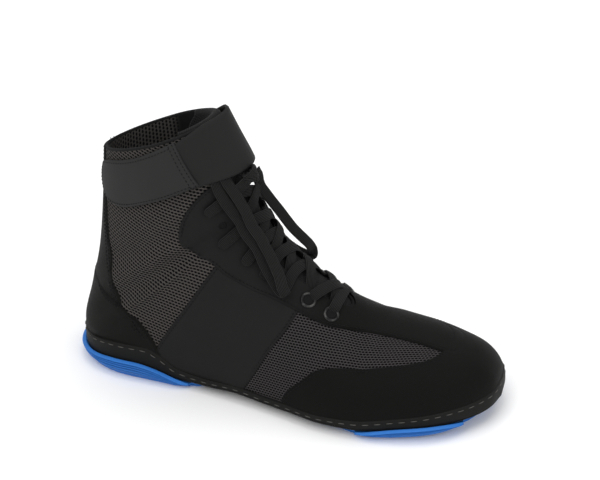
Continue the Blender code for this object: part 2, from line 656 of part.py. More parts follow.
def build_knot():
    """Bow's knot: a small flattened lump over the top crossing."""
    s, place, lift = KNOT
    side = 1 if place > 0 else -1
    centre, axis = lifted(s, abs(place), side, lift), last_normal(s, abs(place), side)
    first = np.cross(axis, (0.0, 1.0, 0.0))
    first /= np.linalg.norm(first)
    second = np.cross(axis, first)
    turn = np.linspace(0, 2 * np.pi, 8, endpoint=False)
    points = []
    for height, share in ((-0.5, 0.62), (-0.1, 1.0), (0.25, 0.92), (0.5, 0.55)):
        for angle in turn:
            points.append(centre + axis * KNOT_SIZE[2] * height + first * np.cos(angle) * KNOT_SIZE[0] / 2 * share
                          + second * np.sin(angle) * KNOT_SIZE[1] / 2 * share)
    faces = [(k * 8 + i, k * 8 + (i + 1) % 8, (k + 1) * 8 + (i + 1) % 8, (k + 1) * 8 + i)
             for k in range(3) for i in range(8)]
    faces += [tuple(reversed(range(8))), tuple(24 + i for i in range(8))]
    return new_object("bow_knot", points, faces, LACE_BLACK, 0.85)


# Bottom unit, pods and insole

RING_STATIONS = 26


def underside(x):
    """Height of the bottom unit's underside."""
    return POD_THICKNESS + spring(x) + arch(x)


def level_line(rise, lift, side, count):
    """Points where the last, lifted, stands at the height rise(x) above the feather line, toe to heel."""
    rows = np.linspace(0.0, LAST_ROW - 2.0, 900)
    base_x = smooth_through(rows, BASE_X)
    height = rise(base_x)
    goal = feather(base_x) + height
    front = rows[np.argmax(smooth_through(rows, RIDGE_Z) >= goal)] if height[0] > 0 else 0.0
    behind = (rows >= CORNER) & (base_height(rows) >= goal)
    rows = np.linspace(front, rows[np.argmax(behind)], 500)
    height = rise(smooth_through(rows, BASE_X))
    t = t_at_height(rows, height)
    t[0] = t[0] if height[0] <= 0 else 0.0
    t[-1] = 1.0
    line = lifted(rows, t, side, np.full(len(rows), lift))
    line[-1, 1] = 0.0
    length = np.concatenate([[0], np.cumsum(np.linalg.norm(np.diff(line, axis=0), axis=1))])
    wanted = np.linspace(0, length[-1], count)
    return np.stack([np.interp(wanted, length, line[:, k]) for k in range(3)], axis=1)


def both_sides(make):
    """One closed ring: toe, lateral side, heel, medial side."""
    lateral, medial = make(-1), make(1)
    lateral[0], lateral[-1] = (lateral[0] + medial[0]) / 2, (lateral[-1] + medial[-1]) / 2
    return np.concatenate([lateral, medial[-2:0:-1]])


def contour(rise, lift):
    """Closed ring round the last at the height rise(x) above the feather line."""
    return both_sides(lambda side: level_line(rise, lift, side, RING_STATIONS))


def plan_normals(ring):
    """Outward level normals of a closed ring that runs toe, lateral side, heel."""
    along = np.roll(ring, -1, axis=0) - np.roll(ring, 1, axis=0)
    normal = np.stack([-along[:, 1], along[:, 0], np.zeros(len(ring))], axis=1)
    return normal / np.linalg.norm(normal, axis=1, keepdims=True)


OUTSIDE = LAYER_GAP + WRAP_WALL
POD_GAP = 0.0010


def edge_profile(q):
    """Offset and height on the bottom unit's outside: q < 0 runs in under the sole, q > 0 is the height."""
    q = np.asarray(q, dtype=float)
    low = np.clip(q, 0.0, EDGE_ROUND)
    reach = np.sqrt(EDGE_ROUND ** 2 - (EDGE_ROUND - low) ** 2)
    return OUTSIDE - EDGE_ROUND + reach + np.minimum(q, 0.0), np.maximum(q, 0.0)


def edge_normal(q):
    """Unit normal of that profile, as offset and height."""
    low = np.clip(np.asarray(q, dtype=float), 0.0, EDGE_ROUND)
    reach = np.sqrt(EDGE_ROUND ** 2 - (EDGE_ROUND - low) ** 2)
    return reach / EDGE_ROUND, (low - EDGE_ROUND) / EDGE_ROUND


def build_bottom_unit():
    """Thin black bottom unit with a rounded edge, under the upper and its wrap."""
    base = contour(lambda x: 0 * x, 0.0)
    normals = plan_normals(base)

    def flat(offset, level, height=0.0):
        ring = base + normals * offset
        ring[:, 2] = level(base[:, 0] + normals[:, 0] * min(offset, 0.0)) + height
        return ring
    rings = [flat(OUTSIDE - 0.0008, feather, -CLEARANCE)]
    for share in (0.55, 0.30, 0.12, 0.03, 0.0):
        offset, height = edge_profile(EDGE_ROUND * share)
        rings.append(flat(offset, underside, height))
    return ring_solid("bottom_unit", rings, BLACK_RUBBER, 0.7)


# Edge of each pod: share of SHOE_LENGTH on the outline, inset from the underside's edge as a share of
# BALL_WIDTH, and height up the side as a share of POD_SIDE
POD_SIDE = 0.0095
FRONT_POD = {
    -1: ((1.000, 0.030, 0.00), (0.985, 0.022, 0.00), (0.960, 0.005, 0.00), (0.935, 0.00, 0.25),
         (0.895, 0.00, 0.42), (0.845, 0.00, 0.46), (0.800, 0.00, 0.42), (0.760, 0.00, 0.30), (0.728, 0.00, 0.12),
         (0.700, 0.018, 0.00), (0.660, 0.05, 0.00), (0.610, 0.08, 0.00), (0.560, 0.10, 0.00), (0.525, 0.13, 0.00),
         (0.505, 0.20, 0.00), (0.505, 0.30, 0.00), (0.530, 0.43, 0.00)),
    1: ((1.000, 0.030, 0.00), (0.985, 0.022, 0.00), (0.960, 0.005, 0.00), (0.935, 0.00, 0.25),
        (0.895, 0.00, 0.45), (0.845, 0.00, 0.55), (0.800, 0.00, 0.58), (0.755, 0.00, 0.58), (0.715, 0.00, 0.50),
        (0.680, 0.00, 0.35), (0.655, 0.00, 0.12), (0.640, 0.02, 0.00), (0.625, 0.05, 0.00), (0.612, 0.10, 0.00),
        (0.595, 0.17, 0.00), (0.575, 0.24, 0.00), (0.555, 0.31, 0.00))}
HEEL_POD = {
    side: ((0.330, 0.29, 0.00), (0.335, 0.20, 0.00), (0.333, 0.11, 0.00), (0.325, 0.04, 0.00), (0.310, 0.005, 0.00),
           (0.285, 0.00, 0.22), (0.250, 0.00, 0.52), (0.205, 0.00, 0.85), (0.160, 0.00, 1.00), (0.110, 0.00, 0.95),
           (0.060, 0.00, 0.72), (0.020, 0.00, 0.55), (0.0, 0.00, 0.50))
    for side in (-1, 1)}


WALL_HEIGHTS = (0.0, 0.003, 0.006, 0.009, 0.012)
WALL_STEPS = 400
INNER_STEP = 0.0014


def wall_lines(side):
    """Level lines of the last near its base, toe to heel at equal steps, one for each of WALL_HEIGHTS."""
    lines = []
    for height in WALL_HEIGHTS:
        lines.append(level_line(lambda x: 0 * x + height, 0.0, side, WALL_STEPS))
    return np.stack(lines)


def pod_edge(table, side, stations):
    """Share of the outline, edge place q and outward normal at equal steps along one side of a pod's edge."""
    line = wall_lines(side)[0]
    along = np.gradient(line, axis=0)
    normal = np.stack([-along[:, 1], along[:, 0], np.zeros(WALL_STEPS)], axis=1) * -side
    normal /= np.linalg.norm(normal, axis=1, keepdims=True)
    normal[0], normal[-1] = (1.0, 0.0, 0.0), (-1.0, 0.0, 0.0)
    steps = np.linspace(0, 1, WALL_STEPS)
    place = np.linspace(0, len(table) - 1, 300)
    share, inset, wall = (smooth_through(place, column) for column in zip(*table))
    run = np.interp(-np.clip(share, 0.0, 1.0) * SHOE_LENGTH, -line[:, 0], steps)
    q = np.where(inset > 1e-3, -np.maximum(inset, 0) * BALL_WIDTH, np.maximum(wall, 0) * POD_SIDE)
    offset = edge_profile(q)[0]
    where = [np.interp(run, steps, line[:, k]) + np.interp(run, steps, normal[:, k]) * offset for k in (0, 1)]
    length = np.concatenate([[0], np.cumsum(np.hypot(np.diff(where[0]), np.diff(where[1])))])
    wanted = np.linspace(0, length[-1], stations)
    run, q = np.interp(wanted, length, run), np.interp(wanted, length, q)
    turned = np.stack([np.interp(run, steps, normal[:, k]) for k in range(3)], axis=1)
    return run, q, turned


def side_point(lines, run, turned, offset, height):
    """Point beside the outline at run, that far outside the last, at a height above the underside."""
    steps = np.linspace(0, 1, WALL_STEPS)
    above = np.clip(height - (FEATHER_HEIGHT - POD_THICKNESS), 0.0, WALL_HEIGHTS[-1])
    level = np.interp(above, WALL_HEIGHTS, np.arange(len(WALL_HEIGHTS)))
    low = np.minimum(level.astype(int), len(WALL_HEIGHTS) - 2)
    part = (level - low)[:, None]
    column = np.stack([np.stack([np.interp(run, steps, line[:, k]) for k in range(3)], axis=1) for line in lines])
    pick = np.arange(len(run))
    spot = column[low, pick] * (1 - part) + column[low + 1, pick] * part
    spot[:, 2] = underside(spot[:, 0] + turned[:, 0] * np.minimum(offset, 0.0)) + height
    return spot + turned * offset[:, None]


def build_pod(name, table, stations):
    """Raised sole pod: flat on the ground, with a wall up the side where it reaches the edge."""
    edges = {side: pod_edge(table[side], side, stations) for side in (-1, 1)}
    lines = {side: wall_lines(side) for side in (-1, 1)}

    def ring(offset_of, height_of):
        def one_side(side):
            run, q, turned = edges[side]
            return side_point(lines[side], run, turned, offset_of(q), height_of(q))
        return both_sides(one_side)

    def beside(place, lift):
        """Ring that far off the bottom unit's outside, at the edge places that place gives."""
        return ring(lambda q: edge_profile(place(q))[0] + edge_normal(place(q))[0] * lift,
                    lambda q: edge_profile(place(q))[1] + edge_normal(place(q))[1] * lift)

    def inside(shift, share):
        return beside(lambda q: np.where(q > 0, q * share, q - (1 - share) * INNER_STEP) - shift, POD_GAP)

    def outside(share, lift):
        return beside(lambda q: np.where(q > 0, q * share, q), POD_GAP + lift)

    def ground(offset, height):
        def reach(q):
            return edge_profile(np.minimum(q, 0.0))[0] + 0.0042 * np.clip(q / 0.004, 0.0, 1.0) + offset
        made = ring(reach, lambda q: 0 * q)
        made[:, 2] = spring(made[:, 0]) + height
        return made
    rings = [inside(INNER_STEP, 0.0)]
    rings += [inside(0.0, share) for share in (0.04, 0.15, 0.4, 1.0)]
    rings += [
        outside(0.85, POD_WALL * 0.9), ground(0.0004, 0.0013), ground(-0.0008, 0.0)]
    return ring_solid(name, rings, BLUE_RUBBER, 0.5)


def build_insole():
    """Insole on the bottom unit's floor, inside the upper."""
    base = contour(lambda x: 0 * x, 0.0)
    normals = plan_normals(base)
    rings = []
    for inset, height in ((0.0036, 0.0), (0.0044, INSOLE_WALL - 0.0006), (0.0052, INSOLE_WALL)):
        ring = base - normals * inset
        ring[:, 2] = feather(ring[:, 0]) + height
        rings.append(ring)
    return ring_solid("insole", rings[::-1], INSIDE_GREY, 0.9)


CORDS = ("bow_knot", "bow_loop_near", "bow_loop_far")


def centre_on_floor(cords):
    """Move everything so that the box of all pieces but the cords is centred on the origin, its base at Z = 0."""
    items = [item for item in bpy.data.objects if item.name not in cords]
    points = np.array([tuple(vertex.co) for item in items for vertex in item.data.vertices])
    low, high = points.min(axis=0), points.max(axis=0)
    shift = Matrix.Translation((-(low[0] + high[0]) / 2, -(low[1] + high[1]) / 2, -low[2]))
    for item in bpy.data.objects:
        item.data.transform(shift)


for leftover in list(bpy.data.objects):
    bpy.data.objects.remove(leftover, do_unlink=True)
build_upper()
build_wrap()
build_bottom_unit()
build_pod("forefoot_pod", FRONT_POD, 26)
build_pod("heel_pod", HEEL_POD, 22)
build_insole()
build_tongue()
build_toe_cap()
build_saddle()
build_counter()
build_band("ankle_strap", STRAP_TABLE)
build_band("strap_tab", TAB_TABLE)
build_eyelets()
build_lacing()
build_knot()
build_loop("bow_loop_near", NEAR_LOOP)
build_loop("bow_loop_far", FAR_LOOP)
centre_on_floor(CORDS)
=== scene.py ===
"""Looks of a right wrestling shoe: mesh upper with smooth overlays, ankle strap, laces and split sole.

Every layer is read from one form of the foot, the same as the CAD model's: a fan of sections that
run from the ridge of the foot (t = 0) to the feather line or the heel's back (t = 1), numbered s
from toe to collar. Side -1 is lateral (towards -Y) and +1 medial. Everything is in metres.
"""

import logging
import math
from dataclasses import dataclass, field
from enum import Enum, IntEnum
from typing import Callable, Iterable, Sequence

import bpy
import numpy as np
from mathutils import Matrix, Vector
from mathutils.kdtree import KDTree

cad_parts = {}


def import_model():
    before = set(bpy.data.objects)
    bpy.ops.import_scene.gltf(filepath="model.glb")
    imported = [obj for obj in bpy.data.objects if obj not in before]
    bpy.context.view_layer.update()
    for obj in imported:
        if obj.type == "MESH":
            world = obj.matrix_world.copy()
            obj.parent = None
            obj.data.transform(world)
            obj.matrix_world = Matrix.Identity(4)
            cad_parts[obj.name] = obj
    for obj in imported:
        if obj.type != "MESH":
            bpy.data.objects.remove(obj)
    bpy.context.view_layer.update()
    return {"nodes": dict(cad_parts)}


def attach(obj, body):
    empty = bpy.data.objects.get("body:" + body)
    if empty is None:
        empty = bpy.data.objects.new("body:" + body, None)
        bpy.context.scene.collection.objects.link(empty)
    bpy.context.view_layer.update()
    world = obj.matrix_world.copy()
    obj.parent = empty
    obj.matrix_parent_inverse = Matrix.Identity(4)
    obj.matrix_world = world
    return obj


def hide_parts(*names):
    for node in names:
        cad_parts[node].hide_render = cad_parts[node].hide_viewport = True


LOG = logging.getLogger("shoe")
BODY = "root"
MM = 1000.0

Colour = tuple[float, float, float]
Array = np.ndarray
Point = tuple[float, float, float]
Table = Sequence[Sequence[float]]
Socket = bpy.types.NodeSocket
Material = bpy.types.Material


class Side(IntEnum):
    """Side of the shoe, as the sign of Y."""

    LATERAL = -1
    MEDIAL = 1


class Region(Enum):
    """Overlays on the mesh upper; the value names the attribute that holds its signed distance."""

    CAP = "cap"
    EYESTAY = "eyestay"
    MID = "mid"
    STAY = "stay"
    COUNTER = "counter"


# Form of the foot


@dataclass(frozen=True)
class FootSizes:
    """Driving sizes of the last, as in the CAD model."""

    length: float = 0.285
    ball_width: float = 0.101
    heel_width: float = 0.070
    shaft_width: float = 0.050
    instep_height: float = 0.101
    front_height: float = 0.190
    back_height: float = 0.155
    feather_height: float = 0.008
    toe_spring: float = 0.006
    shank_arch: float = 0.0012
    toe_lean: float = 0.010
    pod_thickness: float = 0.0040
    throat_half_gap: float = 0.0125
    tongue_half_width: float = 0.026
    wrap_top: float = 0.0175


# Name; ridge x and height, shares of the length and of the named height; base x, share of the length;
# base height, share of the back's; lateral and medial half widths, shares of the named width;
# super-ellipse power; share of the depth where the section is widest
SECTIONS = (
    ("tip", 1.000, 0.148, "instep_height", 1.000, 0.000, 0.000, 0.000, "ball_width", 2.3, 1.00),
    ("toe_1", 0.987, 0.29, "instep_height", 0.987, 0.000, 0.153, 0.208, "ball_width", 2.3, 1.00),
    ("toe_2", 0.948, 0.39, "instep_height", 0.948, 0.000, 0.292, 0.337, "ball_width", 2.3, 1.00),
    ("toe_3", 0.880, 0.455, "instep_height", 0.880, 0.000, 0.421, 0.421, "ball_width", 2.2, 1.00),
    ("vamp_1", 0.800, 0.505, "instep_height", 0.800, 0.000, 0.500, 0.455, "ball_width", 2.2, 1.00),
    ("ball", 0.720, 0.555, "instep_height", 0.715, 0.000, 0.554, 0.446, "ball_width", 2.1, 1.00),
    ("throat", 0.650, 0.640, "instep_height", 0.635, 0.000, 0.540, 0.396, "ball_width", 2.0, 1.00),
    ("waist_1", 0.580, 0.770, "instep_height", 0.550, 0.000, 0.480, 0.342, "ball_width", 2.0, 1.00),
    ("waist_2", 0.520, 0.890, "instep_height", 0.450, 0.000, 0.421, 0.312, "ball_width", 2.0, 1.00),
    ("instep", 0.480, 1.000, "instep_height", 0.345, 0.000, 0.550, 0.443, "heel_width", 2.0, 0.90),
    ("heel_1", 0.455, 0.584, "front_height", 0.235, 0.000, 0.521, 0.464, "heel_width", 2.0, 0.80),
    ("heel_2", 0.437, 0.628, "front_height", 0.115, 0.000, 0.514, 0.486, "heel_width", 2.0, 0.70),
    ("corner", 0.422, 0.672, "front_height", 0.006, 0.000, 0.514, 0.486, "heel_width", 2.0, 0.65),
    ("ankle_1", 0.408, 0.716, "front_height", 0.000, 0.122, 0.507, 0.479, "heel_width", 2.0, 0.60),
    ("ankle_2", 0.396, 0.762, "front_height", 0.020, 0.313, 0.500, 0.464, "heel_width", 2.0, 0.55),
    ("ankle_3", 0.379, 0.824, "front_height", 0.040, 0.531, 0.660, 0.580, "shaft_width", 2.0, 0.50),
    ("shaft", 0.358, 0.905, "front_height", 0.052, 0.762, 0.590, 0.490, "shaft_width", 2.0, 0.50),
    ("collar", 0.338, 1.000, "front_height", 0.060, 1.000, 0.540, 0.420, "shaft_width", 2.0, 0.50),
)
TOP_ROW = len(SECTIONS) - 1
CORNER = 12
FAN_START, FAN_ROWS = 6.0, 5.0
BACK_SHARE = (0.0, 0.17, 0.35, 0.55, 0.77, 1.0, 1.3)
BACK_REACH = (0.147, 0.154, 0.196, 0.210, 0.196, 0.182, 0.175)
BACK_POWER = (2.2, 2.1, 1.85, 1.8, 1.85, 1.9, 1.9)
SPRING_START, LEAN_START, ARCH_SHARES = 0.62, 0.30, (0.34, 0.50)
THROAT_START = 5.95
WRAP_SHARE = (0.00, 0.06, 0.14, 0.20, 0.26, 0.34, 0.50, 0.62, 0.74, 0.86, 0.95, 1.00)
WRAP_RISE = (0.75, 0.95, 1.00, 0.75, 0.35, 0.22, 0.20, 0.22, 0.32, 0.42, 0.50, 0.55)
THROAT_ROUND_ROWS, THROAT_GAP_START, THROAT_GAP_GROWTH = 0.9, 0.85, 0.45
LEVEL_FROM = (0.93, 0.97)
NORMAL_STEP = 0.02
SEARCH_ROWS, LINE_ROWS = 1200, 900

# From the last's own origin, at the heel on the ground, to the frame's
ROW_SHIFT = np.array((-0.142168, -0.002758, 0.0))


def smooth_through(place: Array, values: Sequence[float]) -> Array:
    """Cubic curve through equally spaced values that never overshoots them.

    Args:
        place: fractional row numbers to read at.
        values: one value for each row.
    Returns:
        The curve's values. Slopes are central differences, held to twice the smaller neighbour step.
    """
    values = np.asarray(values, dtype=float)
    slope, step = np.gradient(values), np.diff(values)
    limit = np.where(step[:-1] * step[1:] > 0, 2 * np.minimum(abs(step[:-1]), abs(step[1:])), 0.0)
    slope[1:-1] = np.clip(slope[1:-1], -limit, limit)
    place = np.clip(place, 0, len(values) - 1)
    low = np.minimum(np.asarray(place).astype(int), len(values) - 2)
    part = place - low
    return (values[low] * (1 + 2 * part) * (1 - part) ** 2 + slope[low] * part * (1 - part) ** 2
            + values[low + 1] * part ** 2 * (3 - 2 * part) - slope[low + 1] * part ** 2 * (1 - part))


def smooth_step(value: Array, low: float, high: float) -> Array:
    """0 below low, 1 above high and 3x^2 - 2x^3 between."""
    share = np.clip((np.asarray(value) - low) / (high - low), 0.0, 1.0)
    return share * share * (3 - 2 * share)


def unit(vectors: Array) -> Array:
    """The vectors at length 1."""
    return vectors / np.maximum(np.linalg.norm(vectors, axis=-1, keepdims=True), 1e-12)


def arc_length(path: Array) -> Array:
    """Length along a path up to each of its points."""
    return np.concatenate([[0], np.cumsum(np.linalg.norm(np.diff(path, axis=0), axis=1))])


def read_at(wanted: Array, places: Array, table: Array) -> Array:
    """Each column of a table, read at the wanted places by straight lines."""
    return np.stack([np.interp(wanted, places, column) for column in table.T], axis=1)


def rounded(share: Array, least: float) -> Array:
    """Quarter circle sqrt(1 - (1 - share)^2), level from share 1 on; its square is never under least."""
    return np.sqrt(np.clip(1 - (1 - np.minimum(share, 1)) ** 2, least, 1))


class Last:
    """Form of the foot: surface(s, t, side) in the row frame, with its normals and edges."""

    def __init__(self, sizes: FootSizes) -> None:
        """Reads the section table at these sizes."""
        self.sizes = sizes
        rows = list(zip(*SECTIONS))
        heights = np.array([getattr(sizes, name) for name in rows[3]])
        widths = np.array([getattr(sizes, name) for name in rows[8]])
        self.ridge_x = np.array(rows[1]) * sizes.length
        self.ridge_z = np.array(rows[2]) * heights
        self.base_x = np.array(rows[4]) * sizes.length
        rise = sizes.back_height - sizes.feather_height
        self.base_z = self.feather(self.base_x) + np.array(rows[5]) * rise
        self.half = {-1: np.array(rows[6]) * widths, 1: np.array(rows[7]) * widths}
        self.squareness, self.widest = np.array(rows[9]), np.array(rows[10])
        back_rows = np.linspace(CORNER, TOP_ROW, 120)
        self.back_x, self.back_z = smooth_through(back_rows, self.base_x), self.base_height(back_rows)

    def spring(self, x: Array) -> Array:
        """Lift of the sole towards the toe, a parabola from the ball on."""
        share = np.clip((np.asarray(x) / self.sizes.length - SPRING_START) / (1 - SPRING_START), 0, 1)
        return self.sizes.toe_spring * share ** 2

    def arch(self, x: Array) -> Array:
        """Lift of the shank between heel and ball."""
        low, high = ARCH_SHARES
        share = np.clip((np.asarray(x) / self.sizes.length - low) / (high - low), 0, 1)
        return self.sizes.shank_arch * np.sin(np.pi * share) ** 2

    def feather(self, x: Array) -> Array:
        """Height where upper and sole meet."""
        return self.sizes.feather_height + self.spring(x) + self.arch(x)

    def underside(self, x: Array) -> Array:
        """Height of the bottom unit's underside."""
        return self.sizes.pod_thickness + self.spring(x) + self.arch(x)

    def base_height(self, s: Array) -> Array:
        """Height of each section's lower end, never under the feather line."""
        return np.maximum(smooth_through(s, self.base_z), self.feather(smooth_through(s, self.base_x)))

    @staticmethod
    def depth(s: Array, t: Array) -> Array:
        """Share of the way from ridge to base: 1 - cos at the toe, turning into (1 - cos) / 2 at the heel."""
        turn = smooth_step(s, FAN_START, FAN_START + FAN_ROWS)
        return (1 - turn) * (1 - np.cos(np.pi * t / 2)) + turn * (1 - np.cos(np.pi * t)) / 2

    def t_of_depth(self, s: Array, depth: Array) -> Array:
        """The t at which a section has gone that share of its way, by halving.

        Args:
            s: section numbers.
            depth: wanted shares, 0 at the ridge to 1 at the base.
        Returns:
            The t of each.
        """
        low, high = np.zeros(np.shape(s)), np.ones(np.shape(s))
        for _ in range(36):
            middle = (low + high) / 2
            below = self.depth(s, middle) < depth
            low, high = np.where(below, middle, low), np.where(below, high, middle)
        return (low + high) / 2

    def raw(self, s: Array, t: Array, side: float) -> Array:
        """Point on section s at t, from the last's own origin.

        x and z go from ridge to base by depth(s, t). y is the section's half width times the
        super-ellipse (1 - (1 - reach)^p)^(1/p), times another one that closes the heel's back.

        Args:
            s: section numbers, 0 at the tip to TOP_ROW at the collar.
            t: 0 at the ridge to 1 at the base.
            side: -1 lateral, +1 medial.
        Returns:
            One point for each s and t.
        """
        s, t = np.broadcast_arrays(np.asarray(s, dtype=float), np.asarray(t, dtype=float))
        depth = self.depth(s, t)
        top_x, top_z = smooth_through(s, self.ridge_x), smooth_through(s, self.ridge_z)
        x = top_x + (smooth_through(s, self.base_x) - top_x) * depth
        z = top_z + (self.base_height(s) - top_z) * depth
        power = smooth_through(s, self.squareness)
        reach = np.clip(depth / smooth_through(s, self.widest), 0.0, 1.0)
        round_off = (1 - (1 - reach) ** power) ** (1 / power)
        height = z / self.sizes.back_height
        back_power = np.interp(height, BACK_SHARE, BACK_POWER)
        reach_back = np.interp(height, BACK_SHARE, BACK_REACH) * self.sizes.length
        behind = (x - np.interp(z, self.back_z, self.back_x)) / reach_back
        close = (1 - (1 - np.clip(behind, 0.0, 1.0)) ** back_power) ** (1 / back_power)
        lean = (top_x / self.sizes.length - LEAN_START) / (1 - LEAN_START)
        lean = self.sizes.toe_lean * np.clip(lean, 0, 1)
        half = np.where(side > 0, smooth_through(s, self.half[1]), smooth_through(s, self.half[-1]))
        return np.stack([x, lean + side * half * round_off * close, z], axis=-1)

    def normal(self, s: Array, t: Array, side: float) -> Array:
        """Outward unit normal, level across the ridge and across the heel's back.

        Args:
            s: section numbers.
            t: places across them.
            side: -1 lateral, +1 medial.
        Returns:
            The cross product of a short step across and one along the surface, at length 1.
        """
        s, t = np.broadcast_arrays(np.asarray(s, dtype=float), np.asarray(t, dtype=float))
        step = NORMAL_STEP
        along = (self.raw(np.minimum(s + step, TOP_ROW), t, side)
                 - self.raw(np.maximum(s - step, 0), t, side))
        across = self.raw(s, np.minimum(t + step, 1), side) - self.raw(s, np.maximum(t - step, 0), side)
        normal = np.cross(across, along) * np.asarray(side)[..., None]
        normal[t < 1e-6, 1] = 0.0
        normal[(t > 1 - 1e-6) & (s >= CORNER), 1] = 0.0
        normal[..., 2] *= 1 - smooth_step(t, *LEVEL_FROM) * (s <= CORNER)
        normal[s < 1e-6] = (1.0, 0.0, 0.0)
        return unit(normal)

    def lifted(self, s: Array, t: Array, side: float, lift: Array) -> Array:
        """Point at the distance lift outside the last, in the row frame."""
        return self.raw(s, t, side) + self.normal(s, t, side) * np.asarray(lift)[..., None] + ROW_SHIFT

    def placed(self, s: Array, place: Array, lift: Array) -> Array:
        """Point whose signed place is -t on the lateral and +t on the medial side."""
        place = np.asarray(place, dtype=float)
        return self.lifted(s, abs(place), np.where(place > 0, 1.0, -1.0), lift)

    def placed_normal(self, s: Array, place: Array) -> Array:
        """Normal at a signed place."""
        place = np.asarray(place, dtype=float)
        return self.normal(s, abs(place), np.where(place > 0, 1.0, -1.0))

    def t_at_half_width(self, s: Array, side: int, half_width: Array) -> Array:
        """The t near the ridge where a section is half_width wide.

        Args:
            s: section numbers.
            side: -1 lateral, +1 medial.
            half_width: distance from the ridge's middle plane, in metres.
        Returns:
            The t of each, from the super-ellipse turned round.
        """
        power = smooth_through(s, self.squareness)
        share = np.clip(half_width / np.maximum(smooth_through(s, self.half[side]), 1e-6), 0.0, 0.98)
        reach = 1 - (1 - share ** power) ** (1 / power)
        return self.t_of_depth(s, reach * smooth_through(s, self.widest))

    def t_at_height(self, s: Array, height: Array) -> Array:
        """The t where a section stands that high above the feather line.

        Args:
            s: section numbers.
            height: in metres.
        Returns:
            The t of each, held between 0 and 1.
        """
        top, low = smooth_through(s, self.ridge_z), self.base_height(s)
        goal = self.feather(smooth_through(s, self.base_x)) + height
        return self.t_of_depth(s, np.clip((top - goal) / np.maximum(top - low, 1e-6), 0.0, 1.0))

    def throat_edge(self, s: Array, side: int) -> Array:
        """The upper's edge beside the throat: a round start, then a slowly widening gap.

        Args:
            s: section numbers.
            side: -1 lateral, +1 medial.
        Returns:
            The edge's t, 0 in front of the throat.
        """
        s = np.asarray(s, dtype=float)
        start = np.clip((s - THROAT_START) / THROAT_ROUND_ROWS, 0.0, 1.0)
        way = np.clip((s - THROAT_START) / (TOP_ROW - THROAT_START), 0.0, 1.0)
        gap = self.sizes.throat_half_gap * (THROAT_GAP_START + THROAT_GAP_GROWTH * way)
        half = gap * np.sqrt(1 - (1 - start) ** 2)
        return np.where(s <= THROAT_START, 0.0, self.t_at_half_width(s, side, half))

    def wrap_height(self, x: Array) -> Array:
        """Height of the wrap's top edge above the feather line."""
        share = np.asarray(x) / self.sizes.length
        return self.sizes.wrap_top * smooth_through(
            np.interp(share, WRAP_SHARE, np.arange(len(WRAP_SHARE))), WRAP_RISE)

    def level_line(self, rise: Callable[[Array], Array], lift: float, side: int,
                   count: int) -> Array:
        """Line, toe to heel, where the lifted last stands rise(x) above the feather line.

        Args:
            rise: height above the feather line, by x.
            lift: distance outside the last.
            side: -1 lateral, +1 medial.
            count: number of points.
        Returns:
            Equally spaced points, from the last's own origin.
        """
        rows = np.linspace(0.0, TOP_ROW - 2.0, SEARCH_ROWS)
        base_x = smooth_through(rows, self.base_x)
        height = rise(base_x)
        goal = self.feather(base_x) + height
        front = rows[np.argmax(smooth_through(rows, self.ridge_z) >= goal)] if height[0] > 0 else 0.0
        behind = (rows >= CORNER) & (self.base_height(rows) >= goal)
        rows = np.linspace(front, rows[np.argmax(behind)], LINE_ROWS)
        height = rise(smooth_through(rows, self.base_x))
        t = self.t_at_height(rows, height)
        t[0] = t[0] if height[0] <= 0 else 0.0
        t[-1] = 1.0
        line = self.raw(rows, t, side) + self.normal(rows, t, side) * lift
        line[-1, 1] = 0.0
        length = arc_length(line)
        return read_at(np.linspace(0, length[-1], count), length, line)


# Mesh making


@dataclass
class Surface:
    """Points, faces of three or four point numbers, corner or point UV in mm, and point attributes."""

    points: Array
    faces: list[tuple[int, ...]]
    uv: Array | None = None
    marks: dict[str, Array] = field(default_factory=dict)

    def welded(self, tolerance: float = 1e-6) -> "Surface":
        """Joins points that lie within the tolerance and drops faces with no area.

        Args:
            tolerance: edge of the cube, in metres, whose points become one.
        Returns:
            The new surface, with its UV per corner.
        """
        keys = np.round(self.points / tolerance).astype(np.int64)
        _, first, inverse = np.unique(keys, axis=0, return_index=True, return_inverse=True)
        inverse = inverse.ravel()
        faces, corner_uv = [], []
        for face in self.faces:
            new, kept = [], []
            for index in face:
                if not new or inverse[index] != new[-1]:
                    new.append(int(inverse[index]))
                    kept.append(index)
            if len(new) > 1 and new[0] == new[-1]:
                new.pop()
                kept.pop()
            if len(new) > 2 and len(set(new)) == len(new):
                faces.append(tuple(new))
                corner_uv.extend(kept)
        uv = None if self.uv is None else self.uv[corner_uv]
        return Surface(self.points[first], faces, uv, {k: v[first] for k, v in self.marks.items()})


def grid_faces(rows: int, columns: int, start: int = 0, flip: bool = False,
               wrap: bool = False) -> list[tuple[int, ...]]:
    """Quads of a grid of points numbered row by row.

    Args:
        rows: points along.
        columns: points across.
        start: number of the first point.
        flip: whether the faces look the other way.
        wrap: whether each row closes on itself.
    Returns:
        Four point numbers for each face.
    """
    i, j = np.meshgrid(np.arange(rows - 1), np.arange(columns if wrap else columns - 1), indexing="ij")
    after = (j + 1) % columns
    a, b = start + i * columns + j, start + i * columns + after
    c, d = b + columns, a + columns
    corners = (a, d, c, b) if flip else (a, b, c, d)
    return [tuple(face) for face in np.stack(corners, axis=-1).reshape(-1, 4).tolist()]


def lid(size: int, start: int = 0) -> list[tuple[int, ...]]:
    """Strips that close a ring of an even number of points.

    Args:
        size: points in the ring.
        start: number of its first point.
    Returns:
        Faces between point i and its opposite, point size - i.
    """
    return [tuple(start + index for index in
                  dict.fromkeys((i, i + 1, (size - i - 1) % size, (size - i) % size)))
            for i in range(size // 2)]


def turned_over(faces: Iterable[tuple[int, ...]]) -> list[tuple[int, ...]]:
    """The faces, looking the other way."""
    return [tuple(reversed(face)) for face in faces]


